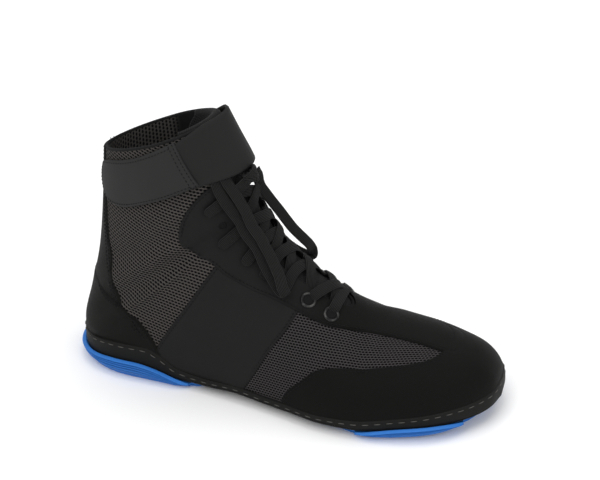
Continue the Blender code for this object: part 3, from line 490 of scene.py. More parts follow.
def shell_faces(rows: int, columns: int) -> list[tuple[int, ...]]:
    """Faces of a closed shell.

    Args:
        rows: points along each of its two grids.
        columns: points across them.
    Returns:
        Both grids, the outer one numbered first, and the wall between their rims.
    """
    count = rows * columns
    rim = ([*range(columns)] + [i * columns + columns - 1 for i in range(1, rows)]
           + [(rows - 1) * columns + j for j in range(columns - 2, -1, -1)]
           + [i * columns for i in range(rows - 2, 0, -1)])
    return (grid_faces(rows, columns) + grid_faces(rows, columns, start=count, flip=True)
            + [(b, a, count + a, count + b) for a, b in zip(rim, rim[1:] + rim[:1])])


def joined(parts: Iterable[Surface]) -> Surface:
    """One surface of several that stay apart. All have UV by point, or none is kept."""
    parts = list(parts)
    faces, offset = [], 0
    for part in parts:
        faces += [tuple(index + offset for index in face) for face in part.faces]
        offset += len(part.points)
    uv = np.concatenate([p.uv for p in parts]) if all(p.uv is not None for p in parts) else None
    names = set.intersection(*[set(p.marks) for p in parts]) if parts else set()
    marks = {name: np.concatenate([p.marks[name] for p in parts]) for name in names}
    return Surface(np.concatenate([p.points for p in parts]), faces, uv, marks)


def make_object(name: str, surface: Surface, finish: Material,
                replaces: Sequence[str] = ()) -> bpy.types.Object:
    """Turns a surface into a smooth mesh object that rides on the shoe's one body.

    Args:
        name: the piece's name.
        surface: its points and faces, seen from outside.
        finish: material.
        replaces: CAD nodes that the piece stands for.
    Returns:
        The new object.
    """
    mesh = bpy.data.meshes.new(name)
    mesh.from_pydata(surface.points.tolist(), [], surface.faces)
    mesh.update()
    mesh.shade_smooth()
    if surface.uv is not None:
        layer = mesh.uv_layers.new(name="UVMap")
        corners = np.empty(len(mesh.loops), dtype=np.int32)
        mesh.loops.foreach_get("vertex_index", corners)
        uv = surface.uv if len(surface.uv) == len(corners) != len(mesh.vertices) else surface.uv[corners]
        layer.data.foreach_set("uv", uv.astype(np.float32).ravel())
    for key, values in surface.marks.items():
        attribute = mesh.attributes.new(key, "FLOAT", "POINT")
        attribute.data.foreach_set("value", values.astype(np.float32))
    mesh.materials.append(finish)
    item = bpy.data.objects.new(name, mesh)
    bpy.context.scene.collection.objects.link(item)
    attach(item, BODY)
    if replaces:
        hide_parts(*replaces)
    LOG.info("%s: %d faces", name, len(surface.faces))
    return item


LACE_SIDES = 20
LACE_END_LEAST = 0.02
LACE_EDGE_POWER, LACE_FACE_POWER = 0.5, 0.77


def flat_lace(path: Array, normals: Array, width: float, thickness: float,
              round_start: bool = False, round_end: bool = False) -> Surface:
    """Closed flat woven band along a path.

    The cross-section is a super-ellipse |x/a|^4 + |y/b|^2.6 = 1, so the edges are round. A rounded
    end narrows as a quarter circle over half a width.

    Args:
        path: middle line.
        normals: outward normals along it.
        width: across the band.
        thickness: through it.
        round_start: whether the first end is round.
        round_end: whether the last end is.
    Returns:
        The band, with UV in mm along and across.
    """
    tangent = unit(np.gradient(path, axis=0))
    across = unit(np.cross(tangent, normals))
    rise = np.cross(across, tangent)
    length, share, half = arc_length(path), np.ones(len(path)), width / 2
    if round_start:
        share = np.minimum(share, rounded(length / half, LACE_END_LEAST))
    if round_end:
        share = np.minimum(share, rounded((length[-1] - length) / half, LACE_END_LEAST))
    angle = np.linspace(0, 2 * np.pi, LACE_SIDES, endpoint=False)
    x = np.sign(np.cos(angle)) * abs(np.cos(angle)) ** LACE_EDGE_POWER * half
    y = np.sign(np.sin(angle)) * abs(np.sin(angle)) ** LACE_FACE_POWER * thickness / 2
    points = (path[:, None] + across[:, None] * (x[None, :, None] * share[:, None, None])
              + rise[:, None] * y[None, :, None])
    uv = np.stack(np.broadcast_arrays(length[:, None], x[None]), axis=-1) * MM
    faces = grid_faces(len(path), LACE_SIDES, wrap=True)
    faces += turned_over(lid(LACE_SIDES)) + lid(LACE_SIDES, (len(path) - 1) * LACE_SIDES)
    return oriented(Surface(points.reshape(-1, 3), faces, uv.reshape(-1, 2)))


def oriented(surface: Surface) -> Surface:
    """Turns a closed surface's faces outward.

    Args:
        surface: closed surface, whose volume is a sixth of the sum of a . (b x c) over its triangles.
    Returns:
        The same surface, its faces turned over where that sum is negative.
    """
    triangles = [(f[0], f[k], f[k + 1]) for f in surface.faces for k in range(1, len(f) - 1)]
    a, b, c = (surface.points[np.array(column)] for column in zip(*triangles))
    if np.einsum("ij,ij->i", a, np.cross(b, c)).sum() < 0:
        surface.faces = turned_over(surface.faces)
    return surface


def closed_tube(path: Array, radius: float, sides: int) -> Surface:
    """Round tube along a path that closes on itself.

    Args:
        path: middle line, its last point next to its first.
        radius: of the tube.
        sides: points round it.
    Returns:
        The tube, with UV in mm along and round.
    """
    tangent = unit(np.roll(path, -1, axis=0) - np.roll(path, 1, axis=0))
    across = unit(np.cross(tangent, (0.0, 0.0, 1.0)))
    rise = np.cross(across, tangent)
    angle = np.linspace(0, 2 * np.pi, sides, endpoint=False)
    spoke = across[:, None] * np.cos(angle)[None, :, None] + rise[:, None] * np.sin(angle)[None, :, None]
    points = path[:, None] + spoke * radius
    uv = np.stack(np.broadcast_arrays(arc_length(path)[:, None], angle[None] * radius), axis=-1) * MM
    last = (len(path) - 1) * sides
    faces = grid_faces(len(path), sides, wrap=True)
    faces += [(last + j, last + (j + 1) % sides, (j + 1) % sides, j) for j in range(sides)]
    return oriented(Surface(points.reshape(-1, 3), faces, uv.reshape(-1, 2)))


def spaced(path: Array, step: float) -> tuple[Array, Array]:
    """Points about a step apart along a path, and their share of its length."""
    length = arc_length(path)
    wanted = np.linspace(0, length[-1], max(2, int(round(length[-1] / step))))
    return read_at(wanted, length, path), wanted / length[-1]


@dataclass(frozen=True)
class Thread:
    """A sewn row: stitch pitch, stitch length and thread radius, in metres."""

    pitch: float = 0.0026
    stitch: float = 0.0019
    radius: float = 0.00032
    sunk: float = 0.6
    rings: int = 6
    turns: int = 6

    def row(self, path: Array, normals: Array) -> Surface:
        """Capsule-like stitches along a path, each sunk at both its ends.

        A stitch is round, with a radius that follows sqrt(1 - a^4) from a = -1 to 1 along it, and
        its middle line sinks as a^2.

        Args:
            path: line of the sewing.
            normals: outward normals along it.
        Returns:
            All stitches of the row.
        """
        middles, share = spaced(path, self.pitch)
        low = np.minimum((share * (len(path) - 1)).astype(int), len(path) - 2)
        ahead = unit(path[low + 1] - path[low])
        side = unit(np.cross(ahead, unit(normals[low])))
        up = np.cross(side, ahead)
        along = np.cos(np.linspace(0, np.pi, self.rings))[:, None]
        around = np.linspace(0, 2 * np.pi, self.turns, endpoint=False)[None]
        fat = np.sqrt(np.clip(1 - along ** 4, 0.0, 1)) * self.radius
        local = np.stack(np.broadcast_arrays(
            along * self.stitch / 2, fat * np.cos(around),
            fat * np.sin(around) - self.radius * self.sunk * along ** 2), axis=-1).reshape(-1, 3)
        points = (middles[:, None] + ahead[:, None] * local[None, :, :1]
                  + side[:, None] * local[None, :, 1:2] + up[:, None] * local[None, :, 2:])
        one = np.array(grid_faces(self.rings, self.turns, wrap=True, flip=True))
        starts = np.arange(len(middles))[:, None, None] * len(local)
        return Surface(points.reshape(-1, 3), (one[None] + starts).reshape(-1, 4).tolist()).welded(2e-6)


# Finishes


@dataclass(frozen=True)
class MeshLook:
    """An open mesh fabric: yarn and hole colours (linear; the hole colour is the dark cloth behind the holes with
    painted shade in them), pitches in mm, turn of its rows in degrees.
    """

    yarn: Colour
    hole: Colour
    pitch_u: float
    pitch_v: float
    turn: float
    reach_u: float = 0.40
    reach_v: float = 0.30


def scaled(tone: Colour, share: float) -> Colour:
    """A tone, lighter or darker by a share."""
    return tuple(part * share for part in tone)


class Graph:
    """Short hand for building a material's nodes."""

    def __init__(self, name: str) -> None:
        """Starts a material of that name."""
        self.material = bpy.data.materials.new(name)
        self.material.use_nodes = True
        self.nodes = self.material.node_tree.nodes
        self.links = self.material.node_tree.links
        self.shader = self.nodes["Principled BSDF"]

    def put(self, socket: Socket, value: object) -> None:
        """Links a socket, or sets a constant."""
        if isinstance(value, Socket):
            self.links.new(value, socket)
        elif isinstance(value, tuple) and len(value) == 3 and socket.type == "RGBA":
            socket.default_value = (*value, 1.0)
        else:
            socket.default_value = value

    def math(self, kind: str, first: object, second: object = 0.0) -> Socket:
        """A math node of that kind on two numbers or sockets."""
        node = self.nodes.new("ShaderNodeMath")
        node.operation = kind
        for socket, value in zip(node.inputs, (first, second)):
            self.put(socket, value)
        return node.outputs[0]

    def step(self, value: object, low: float, high: float) -> Socket:
        """Smooth 0 to 1 between low and high."""
        node = self.nodes.new("ShaderNodeMapRange")
        node.interpolation_type = "SMOOTHSTEP"
        for socket, item in zip(node.inputs, (value, low, high, 0.0, 1.0)):
            self.put(socket, item)
        return node.outputs[0]

    def mix(self, share: object, first: object, second: object) -> Socket:
        """Colour between first (0) and second (1)."""
        node = self.nodes.new("ShaderNodeMix")
        node.data_type = "RGBA"
        self.put(node.inputs[0], share)
        self.put(node.inputs[6], first)
        self.put(node.inputs[7], second)
        return node.outputs[2]

    def blend(self, share: object, first: object, second: object) -> Socket:
        """Number between first (0) and second (1)."""
        node = self.nodes.new("ShaderNodeMix")
        self.put(node.inputs[0], share)
        self.put(node.inputs[2], first)
        self.put(node.inputs[3], second)
        return node.outputs[0]

    def attribute(self, name: str) -> Socket:
        """A point attribute's number."""
        node = self.nodes.new("ShaderNodeAttribute")
        node.attribute_name = name
        return node.outputs["Fac"]

    def uv(self) -> tuple[Socket, Socket]:
        """UV in mm as two numbers."""
        node = self.nodes.new("ShaderNodeTexCoord")
        split = self.nodes.new("ShaderNodeSeparateXYZ")
        self.links.new(node.outputs["UV"], split.inputs[0])
        return split.outputs[0], split.outputs[1]

    def place(self) -> Socket:
        """Object coordinates, in metres."""
        return self.nodes.new("ShaderNodeTexCoord").outputs["Object"]

    def noise(self, scale: float, detail: float = 3.0, roughness: float = 0.55) -> Socket:
        """Noise of that scale per metre on Object coordinates."""
        node = self.nodes.new("ShaderNodeTexNoise")
        self.put(node.inputs["Vector"], self.place())
        for key, value in (("Scale", scale), ("Detail", detail), ("Roughness", roughness)):
            node.inputs[key].default_value = value
        return node.outputs["Fac"]

    def cells(self, scale: float) -> Socket:
        """Distance to the nearest cell point, for a leather grain."""
        node = self.nodes.new("ShaderNodeTexVoronoi")
        node.feature = "DISTANCE_TO_EDGE"
        self.put(node.inputs["Vector"], self.place())
        node.inputs["Scale"].default_value = scale
        return node.outputs["Distance"]

    def bump(self, height: object, distance: float, strength: float = 1.0,
             under: object = None) -> Socket:
        """Bump of height times distance, in metres."""
        node = self.nodes.new("ShaderNodeBump")
        node.inputs["Strength"].default_value = strength
        node.inputs["Distance"].default_value = distance
        self.put(node.inputs["Height"], height)
        if under is not None:
            self.put(node.inputs["Normal"], under)
        return node.outputs[0]

    def holes(self, look: MeshLook) -> Socket:
        """Staggered rows of oval holes on the piece's UV.

        The coordinates are turned and divided by the pitches; every second row moves half a pitch
        along; a hole is where (a / reach_u)^2 + (b / reach_v)^2 < 1 round a cell's middle.

        Args:
            look: pitches, reaches and turn.
        Returns:
            1 in a hole, 0 on the yarn.
        """
        u, v = self.uv()
        cosine, sine = math.cos(math.radians(look.turn)), math.sin(math.radians(look.turn))
        along = self.math("ADD", self.math("MULTIPLY", u, cosine), self.math("MULTIPLY", v, sine))
        across = self.math("SUBTRACT", self.math("MULTIPLY", v, cosine), self.math("MULTIPLY", u, sine))
        row = self.math("DIVIDE", across, look.pitch_v)
        odd = self.math("MODULO", self.math("ABSOLUTE", self.math("FLOOR", row)), 2.0)
        cell = self.math("ADD", self.math("DIVIDE", along, look.pitch_u), self.math("MULTIPLY", odd, 0.5))
        a = self.math("DIVIDE", self.math("SUBTRACT", self.math("FRACT", cell), 0.5), look.reach_u)
        b = self.math("DIVIDE", self.math("SUBTRACT", self.math("FRACT", row), 0.5), look.reach_v)
        far = self.math("ADD", self.math("MULTIPLY", a, a), self.math("MULTIPLY", b, b))
        return self.math("SUBTRACT", 1.0, self.step(far, 0.55, 1.35))

    def grained(self, cell_scale: float) -> Socket:
        """Fine leather grain with a little unevenness."""
        grain = self.math("MULTIPLY", self.cells(cell_scale), 3.0)
        return self.math("ADD", self.math("MINIMUM", grain, 1.0),
                         self.math("MULTIPLY", self.noise(cell_scale * 0.7), 0.6))

    def finish(self, colour: object, roughness: object, normal: object = None, sheen: float = 0.0,
               coat: float = 0.0, specular: float = 0.5, metallic: float = 0.0) -> Material:
        """Sets the shader's inputs.

        Args:
            colour: base colour, or the socket that gives it.
            roughness: number or socket.
            normal: socket of a bump.
            sheen: weight of the sheen.
            coat: weight of the coat.
            specular: specular level.
            metallic: share of metal.
        Returns:
            The material.
        """
        inputs = self.shader.inputs
        self.put(inputs["Base Color"], colour)
        self.put(inputs["Roughness"], roughness)
        inputs["Sheen Weight"].default_value = sheen
        inputs["Sheen Roughness"].default_value = 0.5
        inputs["Coat Weight"].default_value = coat
        inputs["Specular IOR Level"].default_value = specular
        inputs["Metallic"].default_value = metallic
        if normal is not None:
            self.put(inputs["Normal"], normal)
        return self.material


# The hole colours below are painted shade: the holes are drawn near black, as the shade in them
REAR_MESH = MeshLook((0.066, 0.060, 0.056), (0.0010, 0.0010, 0.0010), 2.35, 2.15, -13.0, 0.42, 0.31)
FORE_MESH = MeshLook((0.048, 0.044, 0.044), (0.0010, 0.0010, 0.0010), 2.1, 1.75, 3.0, 0.40, 0.34)
LINING_MESH = MeshLook((0.060, 0.055, 0.052), (0.0015, 0.0015, 0.0015), 2.4, 2.1, 0.0, 0.42, 0.31)
TONGUE_MESH = MeshLook((0.018, 0.017, 0.017), (0.003, 0.003, 0.003), 1.5, 1.1, 4.0)
SMOOTH_DARK = (0.0030, 0.0031, 0.0027)
SMOOTH_MID = (0.0110, 0.0109, 0.0108)
SMOOTH_EYESTAY = (0.0098, 0.0097, 0.0096)
SMOOTH_COUNTER = (0.0045, 0.0044, 0.0040)


@dataclass(frozen=True)
class SkinFinish:
    """Mesh upper with its overlays, told apart by attributes that hold distances in mm."""

    name: str = "upper_finish"
    tones: tuple[tuple[Region, Colour], ...] = (
        (Region.STAY, SMOOTH_COUNTER), (Region.MID, SMOOTH_MID), (Region.EYESTAY, SMOOTH_EYESTAY),
        (Region.COUNTER, SMOOTH_COUNTER), (Region.CAP, SMOOTH_DARK))
    worn_gain: float = 1.5
    dusty_yarn: Colour = (0.020, 0.019, 0.019)
    # painted shade: the near-black tone laid along each overlay's rim
    painted_rim_shade: Colour = (0.0015, 0.0015, 0.0015)
    rear_from: tuple[float, float] = (9.0, 9.2)
    eyestay_fade: tuple[float, float] = (6.0, 8.5)

    def material(self) -> Material:
        """Lays the overlays over the two meshes, each with a line of painted shade along its rim."""
        g = Graph(self.name)
        rear = g.step(g.attribute("station"), *self.rear_from)
        hole = g.blend(rear, g.holes(FORE_MESH), g.holes(REAR_MESH))
        yarn = g.mix(rear, FORE_MESH.yarn, REAR_MESH.yarn)
        yarn = g.mix(g.math("MULTIPLY", g.noise(160.0, 4.0), 0.35), yarn, self.dusty_yarn)
        # painted shade in the mesh holes: the hole colours go where the hole mask is 1
        colour = g.mix(hole, yarn, g.mix(rear, FORE_MESH.hole, REAR_MESH.hole))
        overlay = None
        for region, tone in self.tones:
            distance = g.attribute(region.value)
            worn_tone = scaled(tone, self.worn_gain)
            if region is Region.EYESTAY:
                back = g.step(g.attribute("station"), *self.eyestay_fade)
                tone, worn_tone = g.mix(back, SMOOTH_DARK, tone), g.mix(back, SMOOTH_DARK, worn_tone)
            inside = g.step(distance, -0.15, 0.15)
            # rim: where the painted shade lies, from 0.9 mm outside the overlay's edge to 0.5 mm inside it
            rim = g.math("MULTIPLY", g.step(distance, -0.9, -0.1),
                         g.math("SUBTRACT", 1.0, g.step(distance, 0.0, 0.5)))
            if region is Region.CAP:
                under = g.step(g.attribute(Region.EYESTAY.value), -0.2, 0.2)
                rim = g.math("MULTIPLY", rim, g.math("SUBTRACT", 1.0, under))
            # painted shade along the rim, at most 0.65 of the way to near black
            shaded = g.mix(g.math("MULTIPLY", rim, 0.65), colour, self.painted_rim_shade)
            worn = g.mix(g.math("MULTIPLY", g.noise(60.0, 5.0), 0.30), tone, worn_tone)
            colour = g.mix(inside, shaded, worn)
            overlay = inside if overlay is None else g.math("MAXIMUM", overlay, inside)
        relief = g.blend(overlay, g.math("SUBTRACT", 1.0, hole), g.math("MULTIPLY", g.grained(1700.0), 0.07))
        rough = g.blend(overlay, 0.88, g.math("ADD", 0.56, g.math("MULTIPLY", g.noise(45.0), 0.14)))
        return g.finish(colour, rough, g.bump(relief, 0.0008, 1.0), sheen=0.01, specular=0.075)


@dataclass(frozen=True)
class SmoothFinish:
    """Soft matte synthetic with a fine grain."""

    name: str
    tone: Colour
    rough: float
    grain: float = 1500.0

    def material(self) -> Material:
        """Grain in the bump, slow unevenness in the tone and the roughness."""
        g = Graph(self.name)
        colour = g.mix(g.math("MULTIPLY", g.noise(50.0, 5.0), 0.35), self.tone, scaled(self.tone, 1.35))
        roughness = g.math("ADD", self.rough - 0.07, g.math("MULTIPLY", g.noise(40.0), 0.14))
        normal = g.bump(g.grained(self.grain), 0.00004, 0.8)
        return g.finish(colour, roughness, normal, sheen=0.01, specular=0.09)


@dataclass(frozen=True)
class PlainFinish:
    """Matte surface broken up by fine noise."""

    name: str
    tone: Colour
    rough: float
    grain: float

    def material(self) -> Material:
        """Fine noise in the bump, noise ten times as coarse in the tone."""
        g = Graph(self.name)
        colour = g.mix(g.noise(self.grain * 0.1), self.tone, scaled(self.tone, 1.4))
        normal = g.bump(g.noise(self.grain), 0.00012, 0.7)
        return g.finish(colour, self.rough, normal, sheen=0.02, specular=0.10)


@dataclass(frozen=True)
class TongueFinish:
    """Mesh fabric of the tongue."""

    look: MeshLook = TONGUE_MESH

    def material(self) -> Material:
        """Holes, coloured as painted shade, and uneven yarn on the tongue's own UV."""
        g = Graph("tongue_finish")
        hole = g.holes(self.look)
        uneven = g.math("MULTIPLY", g.noise(150.0), 0.4)
        yarn = g.mix(uneven, self.look.yarn, scaled(self.look.yarn, 0.6))
        normal = g.bump(g.math("SUBTRACT", 1.0, hole), 0.0004, 0.8)
        return g.finish(g.mix(hole, yarn, self.look.hole), 0.9, normal, sheen=0.05, specular=0.12)


@dataclass(frozen=True)
class LiningFinish:
    """Mesh lining at the back of the collar, smooth and dark towards the strap and further down."""

    look: MeshLook = LINING_MESH
    plain_tone: Colour = (0.006, 0.006, 0.006)
    plain_x: tuple[float, float] = (-0.088, -0.080)
    mesh_z: tuple[float, float] = (0.120, 0.150)

    def material(self) -> Material:
        """Mesh, its holes coloured as painted shade, behind plain_x and above mesh_z, plain cloth elsewhere."""
        g = Graph("lining_finish")
        hole = g.holes(self.look)
        split = g.nodes.new("ShaderNodeSeparateXYZ")
        g.links.new(g.place(), split.inputs[0])
        plain = g.math("MAXIMUM", g.step(split.outputs[0], *self.plain_x),
                       g.math("SUBTRACT", 1.0, g.step(split.outputs[2], *self.mesh_z)))
        colour = g.mix(plain, g.mix(hole, self.look.yarn, self.look.hole), self.plain_tone)
        relief = g.blend(plain, g.math("SUBTRACT", 1.0, hole), 0.5)
        return g.finish(colour, 0.9, g.bump(relief, 0.0005, 0.8), sheen=0.05, specular=0.12)


@dataclass(frozen=True)
class LaceFinish:
    """Flat woven lace: lengthwise ridges crossed by slanted yarns, with pitches in mm; its tone is painted shade in
    the grooves and a painted highlight on the ridges.
    """

    ridge_pitch: float = 0.95
    yarn_pitch: float = 0.8
    # low is painted shade in the grooves, high a painted highlight on the ridges
    low: Colour = (0.0005, 0.0005, 0.0005)
    high: Colour = (0.0260, 0.0255, 0.0250)

    def material(self) -> Material:
        """Height |sin| across plus a slanted sine along; the tone follows the height, as painted shade in the
        grooves and a painted highlight on the ridges.
        """
        g = Graph("lace_finish")
        u, v = g.uv()
        ridge = g.math("ABSOLUTE", g.math("SINE", g.math("MULTIPLY", v, math.pi / self.ridge_pitch)))
        along = g.math("ADD", u, g.math("MULTIPLY", ridge, 0.5))
        slant = g.math("SINE", g.math("MULTIPLY", along, 2 * math.pi / self.yarn_pitch))
        height = g.math("ADD", ridge, g.math("MULTIPLY", slant, 0.22))
        # painted shade and highlight: darker in the grooves, lighter on the ridges
        colour = g.mix(g.step(height, 0.35, 1.10), self.low, self.high)
        return g.finish(colour, 0.82, g.bump(height, 0.00035, 0.9), sheen=0.02, specular=0.09)


@dataclass(frozen=True)
class RubberFinish:
    """Moulded rubber, slightly uneven, with fine dust in its roughness."""

    name: str
    tone: Colour
    rough: float
    # whether the groove attribute paints shade into the colour
    grooved: bool = False

    def material(self) -> Material:
        """Two noises in the bump; where it is grooved, the groove attribute paints shade into the colour, in the
        grooves and under the wall's rim.
        """
        g = Graph(self.name)
        colour = g.mix(g.math("MULTIPLY", g.noise(35.0, 5.0), 0.5), self.tone, scaled(self.tone, 1.22))
        if self.grooved:
            # painted shade: up to 0.85 of the way to a third of the tone, by the groove attribute
            colour = g.mix(g.math("MULTIPLY", g.attribute("groove"), 0.85), colour, scaled(self.tone, 0.36))
        roughness = g.math("ADD", self.rough - 0.08, g.math("MULTIPLY", g.noise(70.0, 5.0), 0.18))
        relief = g.math("ADD", g.noise(2600.0), g.math("MULTIPLY", g.noise(300.0), 0.7))
        return g.finish(colour, roughness, g.bump(relief, 0.00006, 0.7), specular=0.13)


@dataclass(frozen=True)
class MetalFinish:
    """Dark satin metal of the eyelets, with lighter patches that are painted glints."""

    coat: Colour = (0.016, 0.016, 0.016)
    # painted glint: the lighter metal tone of the noise patches
    painted_glint: Colour = (0.070, 0.069, 0.067)

    def material(self) -> Material:
        """Noise picks the places of the painted glints."""
        g = Graph("eyelet_finish")
        # painted glints: noise patches of the lighter tone on the dark coat
        colour = g.mix(g.step(g.noise(260.0), 0.40, 0.68), self.coat, self.painted_glint)
        roughness = g.math("ADD", 0.28, g.math("MULTIPLY", g.noise(900.0), 0.2))
        return g.finish(colour, roughness, g.bump(g.noise(1500.0), 0.00003), metallic=0.85)


@dataclass(frozen=True)
class FloorFinish:
    """Plain pale studio floor."""

    light: Colour = (0.97, 0.97, 0.97)
    dark: Colour = (0.95, 0.95, 0.95)

    def material(self) -> Material:
        """Hardly uneven at all."""
        g = Graph("floor_finish")
        colour = g.mix(g.math("MULTIPLY", g.noise(3.0), 0.3), self.light, self.dark)
        return g.finish(colour, 0.8, g.bump(g.noise(200.0), 0.0001, 0.2), specular=0.2)


class Finishes:
    """All materials of the shoe and its floor."""

    def __init__(self) -> None:
        """Makes each material once."""
        self.skin = SkinFinish().material()
        self.strap = SmoothFinish("strap_finish", (0.0135, 0.0134, 0.0132), 0.60).material()
        self.tab = SmoothFinish("tab_finish", (0.0210, 0.0209, 0.0207), 0.62).material()
        self.lace = LaceFinish().material()
        self.thread = PlainFinish("thread_finish", (0.0035, 0.0035, 0.0035), 0.7, 9000.0).material()
        self.light_thread = PlainFinish("welt_thread_finish", (0.060, 0.058, 0.054), 0.7, 9000.0).material()
        self.lining = LiningFinish().material()
        self.tongue = TongueFinish().material()
        self.binding = PlainFinish("binding_finish", (0.006, 0.006, 0.006), 0.75, 4000.0).material()
        self.rubber = RubberFinish("black_rubber_finish", (0.0065, 0.0066, 0.0060), 0.62).material()
        # blue rubber, with painted shade in its grooves and under the wall's rim
        self.blue = RubberFinish("blue_rubber_finish", (0.030, 0.158, 0.500), 0.48, grooved=True).material()
        self.metal = MetalFinish().material()
        self.insole = PlainFinish("insole_finish", (0.030, 0.030, 0.030), 0.9, 2500.0).material()
        self.floor = FloorFinish().material()


# Camera, lights and floor


@dataclass(frozen=True)
class Studio:
    """Camera that matches the photograph, and soft light from above and both sides.

    azimuth and elevation are in degrees. The target, in metres from the last's own origin, stands in
    the picture at target_px, counted from the top left of a picture of picture_px. Each lamp has its
    name, place, width and watts.
    """

    azimuth: float = 19.92
    elevation: float = 32.96
    distance: float = 1.5
    target: tuple[float, float, float] = (0.14, 0.0, 0.06)
    target_px: tuple[float, float] = (284.6, 301.1)
    picture_px: tuple[float, float] = (600.0, 480.0)
    lens: float = 137.0
    sensor: float = 36.0
    lamps: tuple[tuple[str, Point, float, float], ...] = (
        ("key", (-0.5, -1.3, 1.7), 1.5, 15.0), ("fill", (1.6, -0.8, 1.0), 1.4, 8.0),
        ("top", (0.1, 0.5, 2.0), 2.0, 17.0))
    surround: float = 0.68
    floor_half: float = 3.0
    floor_points: int = 13
    floor_height: float = -0.0002

    def back(self) -> Vector:
        """Direction from the target to the camera."""
        a, e = math.radians(self.azimuth), math.radians(self.elevation)
        return Vector((math.sin(a) * math.cos(e), -math.cos(a) * math.cos(e), math.sin(e)))

    def build_camera(self) -> None:
        """Makes the scene's camera."""
        data = bpy.data.cameras.new("camera")
        data.lens, data.sensor_width = self.lens, self.sensor
        wide, high = self.picture_px
        data.shift_x = (wide / 2 - self.target_px[0]) / wide
        data.shift_y = (self.target_px[1] - high / 2) / wide
        data.clip_start, data.clip_end = 0.05, 20.0
        camera = bpy.data.objects.new("camera", data)
        camera.location = Vector(np.array(self.target) + ROW_SHIFT) + self.back() * self.distance
        camera.rotation_euler = (-self.back()).to_track_quat("-Z", "Y").to_euler()
        bpy.context.scene.collection.objects.link(camera)
        bpy.context.scene.camera = camera

    def build_floor(self, finish: Material) -> None:
        """A wide floor under the shoe."""
        place = np.linspace(-self.floor_half, self.floor_half, self.floor_points)
        points = np.array([(x, y, self.floor_height) for y in place for x in place])
        mesh = bpy.data.meshes.new("floor")
        mesh.from_pydata(points.tolist(), [], grid_faces(self.floor_points, self.floor_points))
        mesh.materials.append(finish)
        floor = bpy.data.objects.new("floor", mesh)
        bpy.context.scene.collection.objects.link(floor)

    def build_lights(self) -> None:
        """Three large soft lamps and an even white surround."""
        for name, place, size, power in self.lamps:
            data = bpy.data.lights.new(name, "AREA")
            data.size, data.energy = size, power
            lamp = bpy.data.objects.new(name, data)
            lamp.location = place
            lamp.rotation_euler = (-Vector(place)).to_track_quat("-Z", "Y").to_euler()
            bpy.context.scene.collection.objects.link(lamp)
        world = bpy.data.worlds.new("surround")
        world.use_nodes = True
        shade = world.node_tree.nodes["Background"]
        shade.inputs["Color"].default_value = (1.0, 1.0, 1.0, 1.0)
        shade.inputs["Strength"].default_value = self.surround
        bpy.context.scene.world = world
        bpy.context.scene.view_settings.view_transform = "Standard"


# Lacing


@dataclass(frozen=True)
class LaceSizes:
    """Sizes of the lace and its eyelets, in metres; eyelets as (s, t), bottom pair first."""

    width: float = 0.0072
    thickness: float = 0.0015
    seat: float = 0.0020
    eyelets: tuple[tuple[float, float], ...] = (
        (6.41, 0.228), (7.17, 0.243), (8.00, 0.252), (8.97, 0.252), (10.10, 0.240), (11.75, 0.240),
        (12.80, 0.215), (14.15, 0.250))
    ring_outer: float = 0.0054
    ring_inner: float = 0.0035
    ring_height: float = 0.0009
    coated_outer: float = 0.0028
    coated_inner: float = 0.0016
    coated_height: float = 0.0004
    ring_sunk: float = 0.0003
    lip: float = 0.0004
    over_rise: float = 0.0019
    under_rise: float = 0.0002
    knot_high: float = 0.0030
    knot_wide: float = 0.0052
    ringed: int = 2
    laced: tuple[int, ...] = (0, 1, 2, 3, 4, 5, 7)


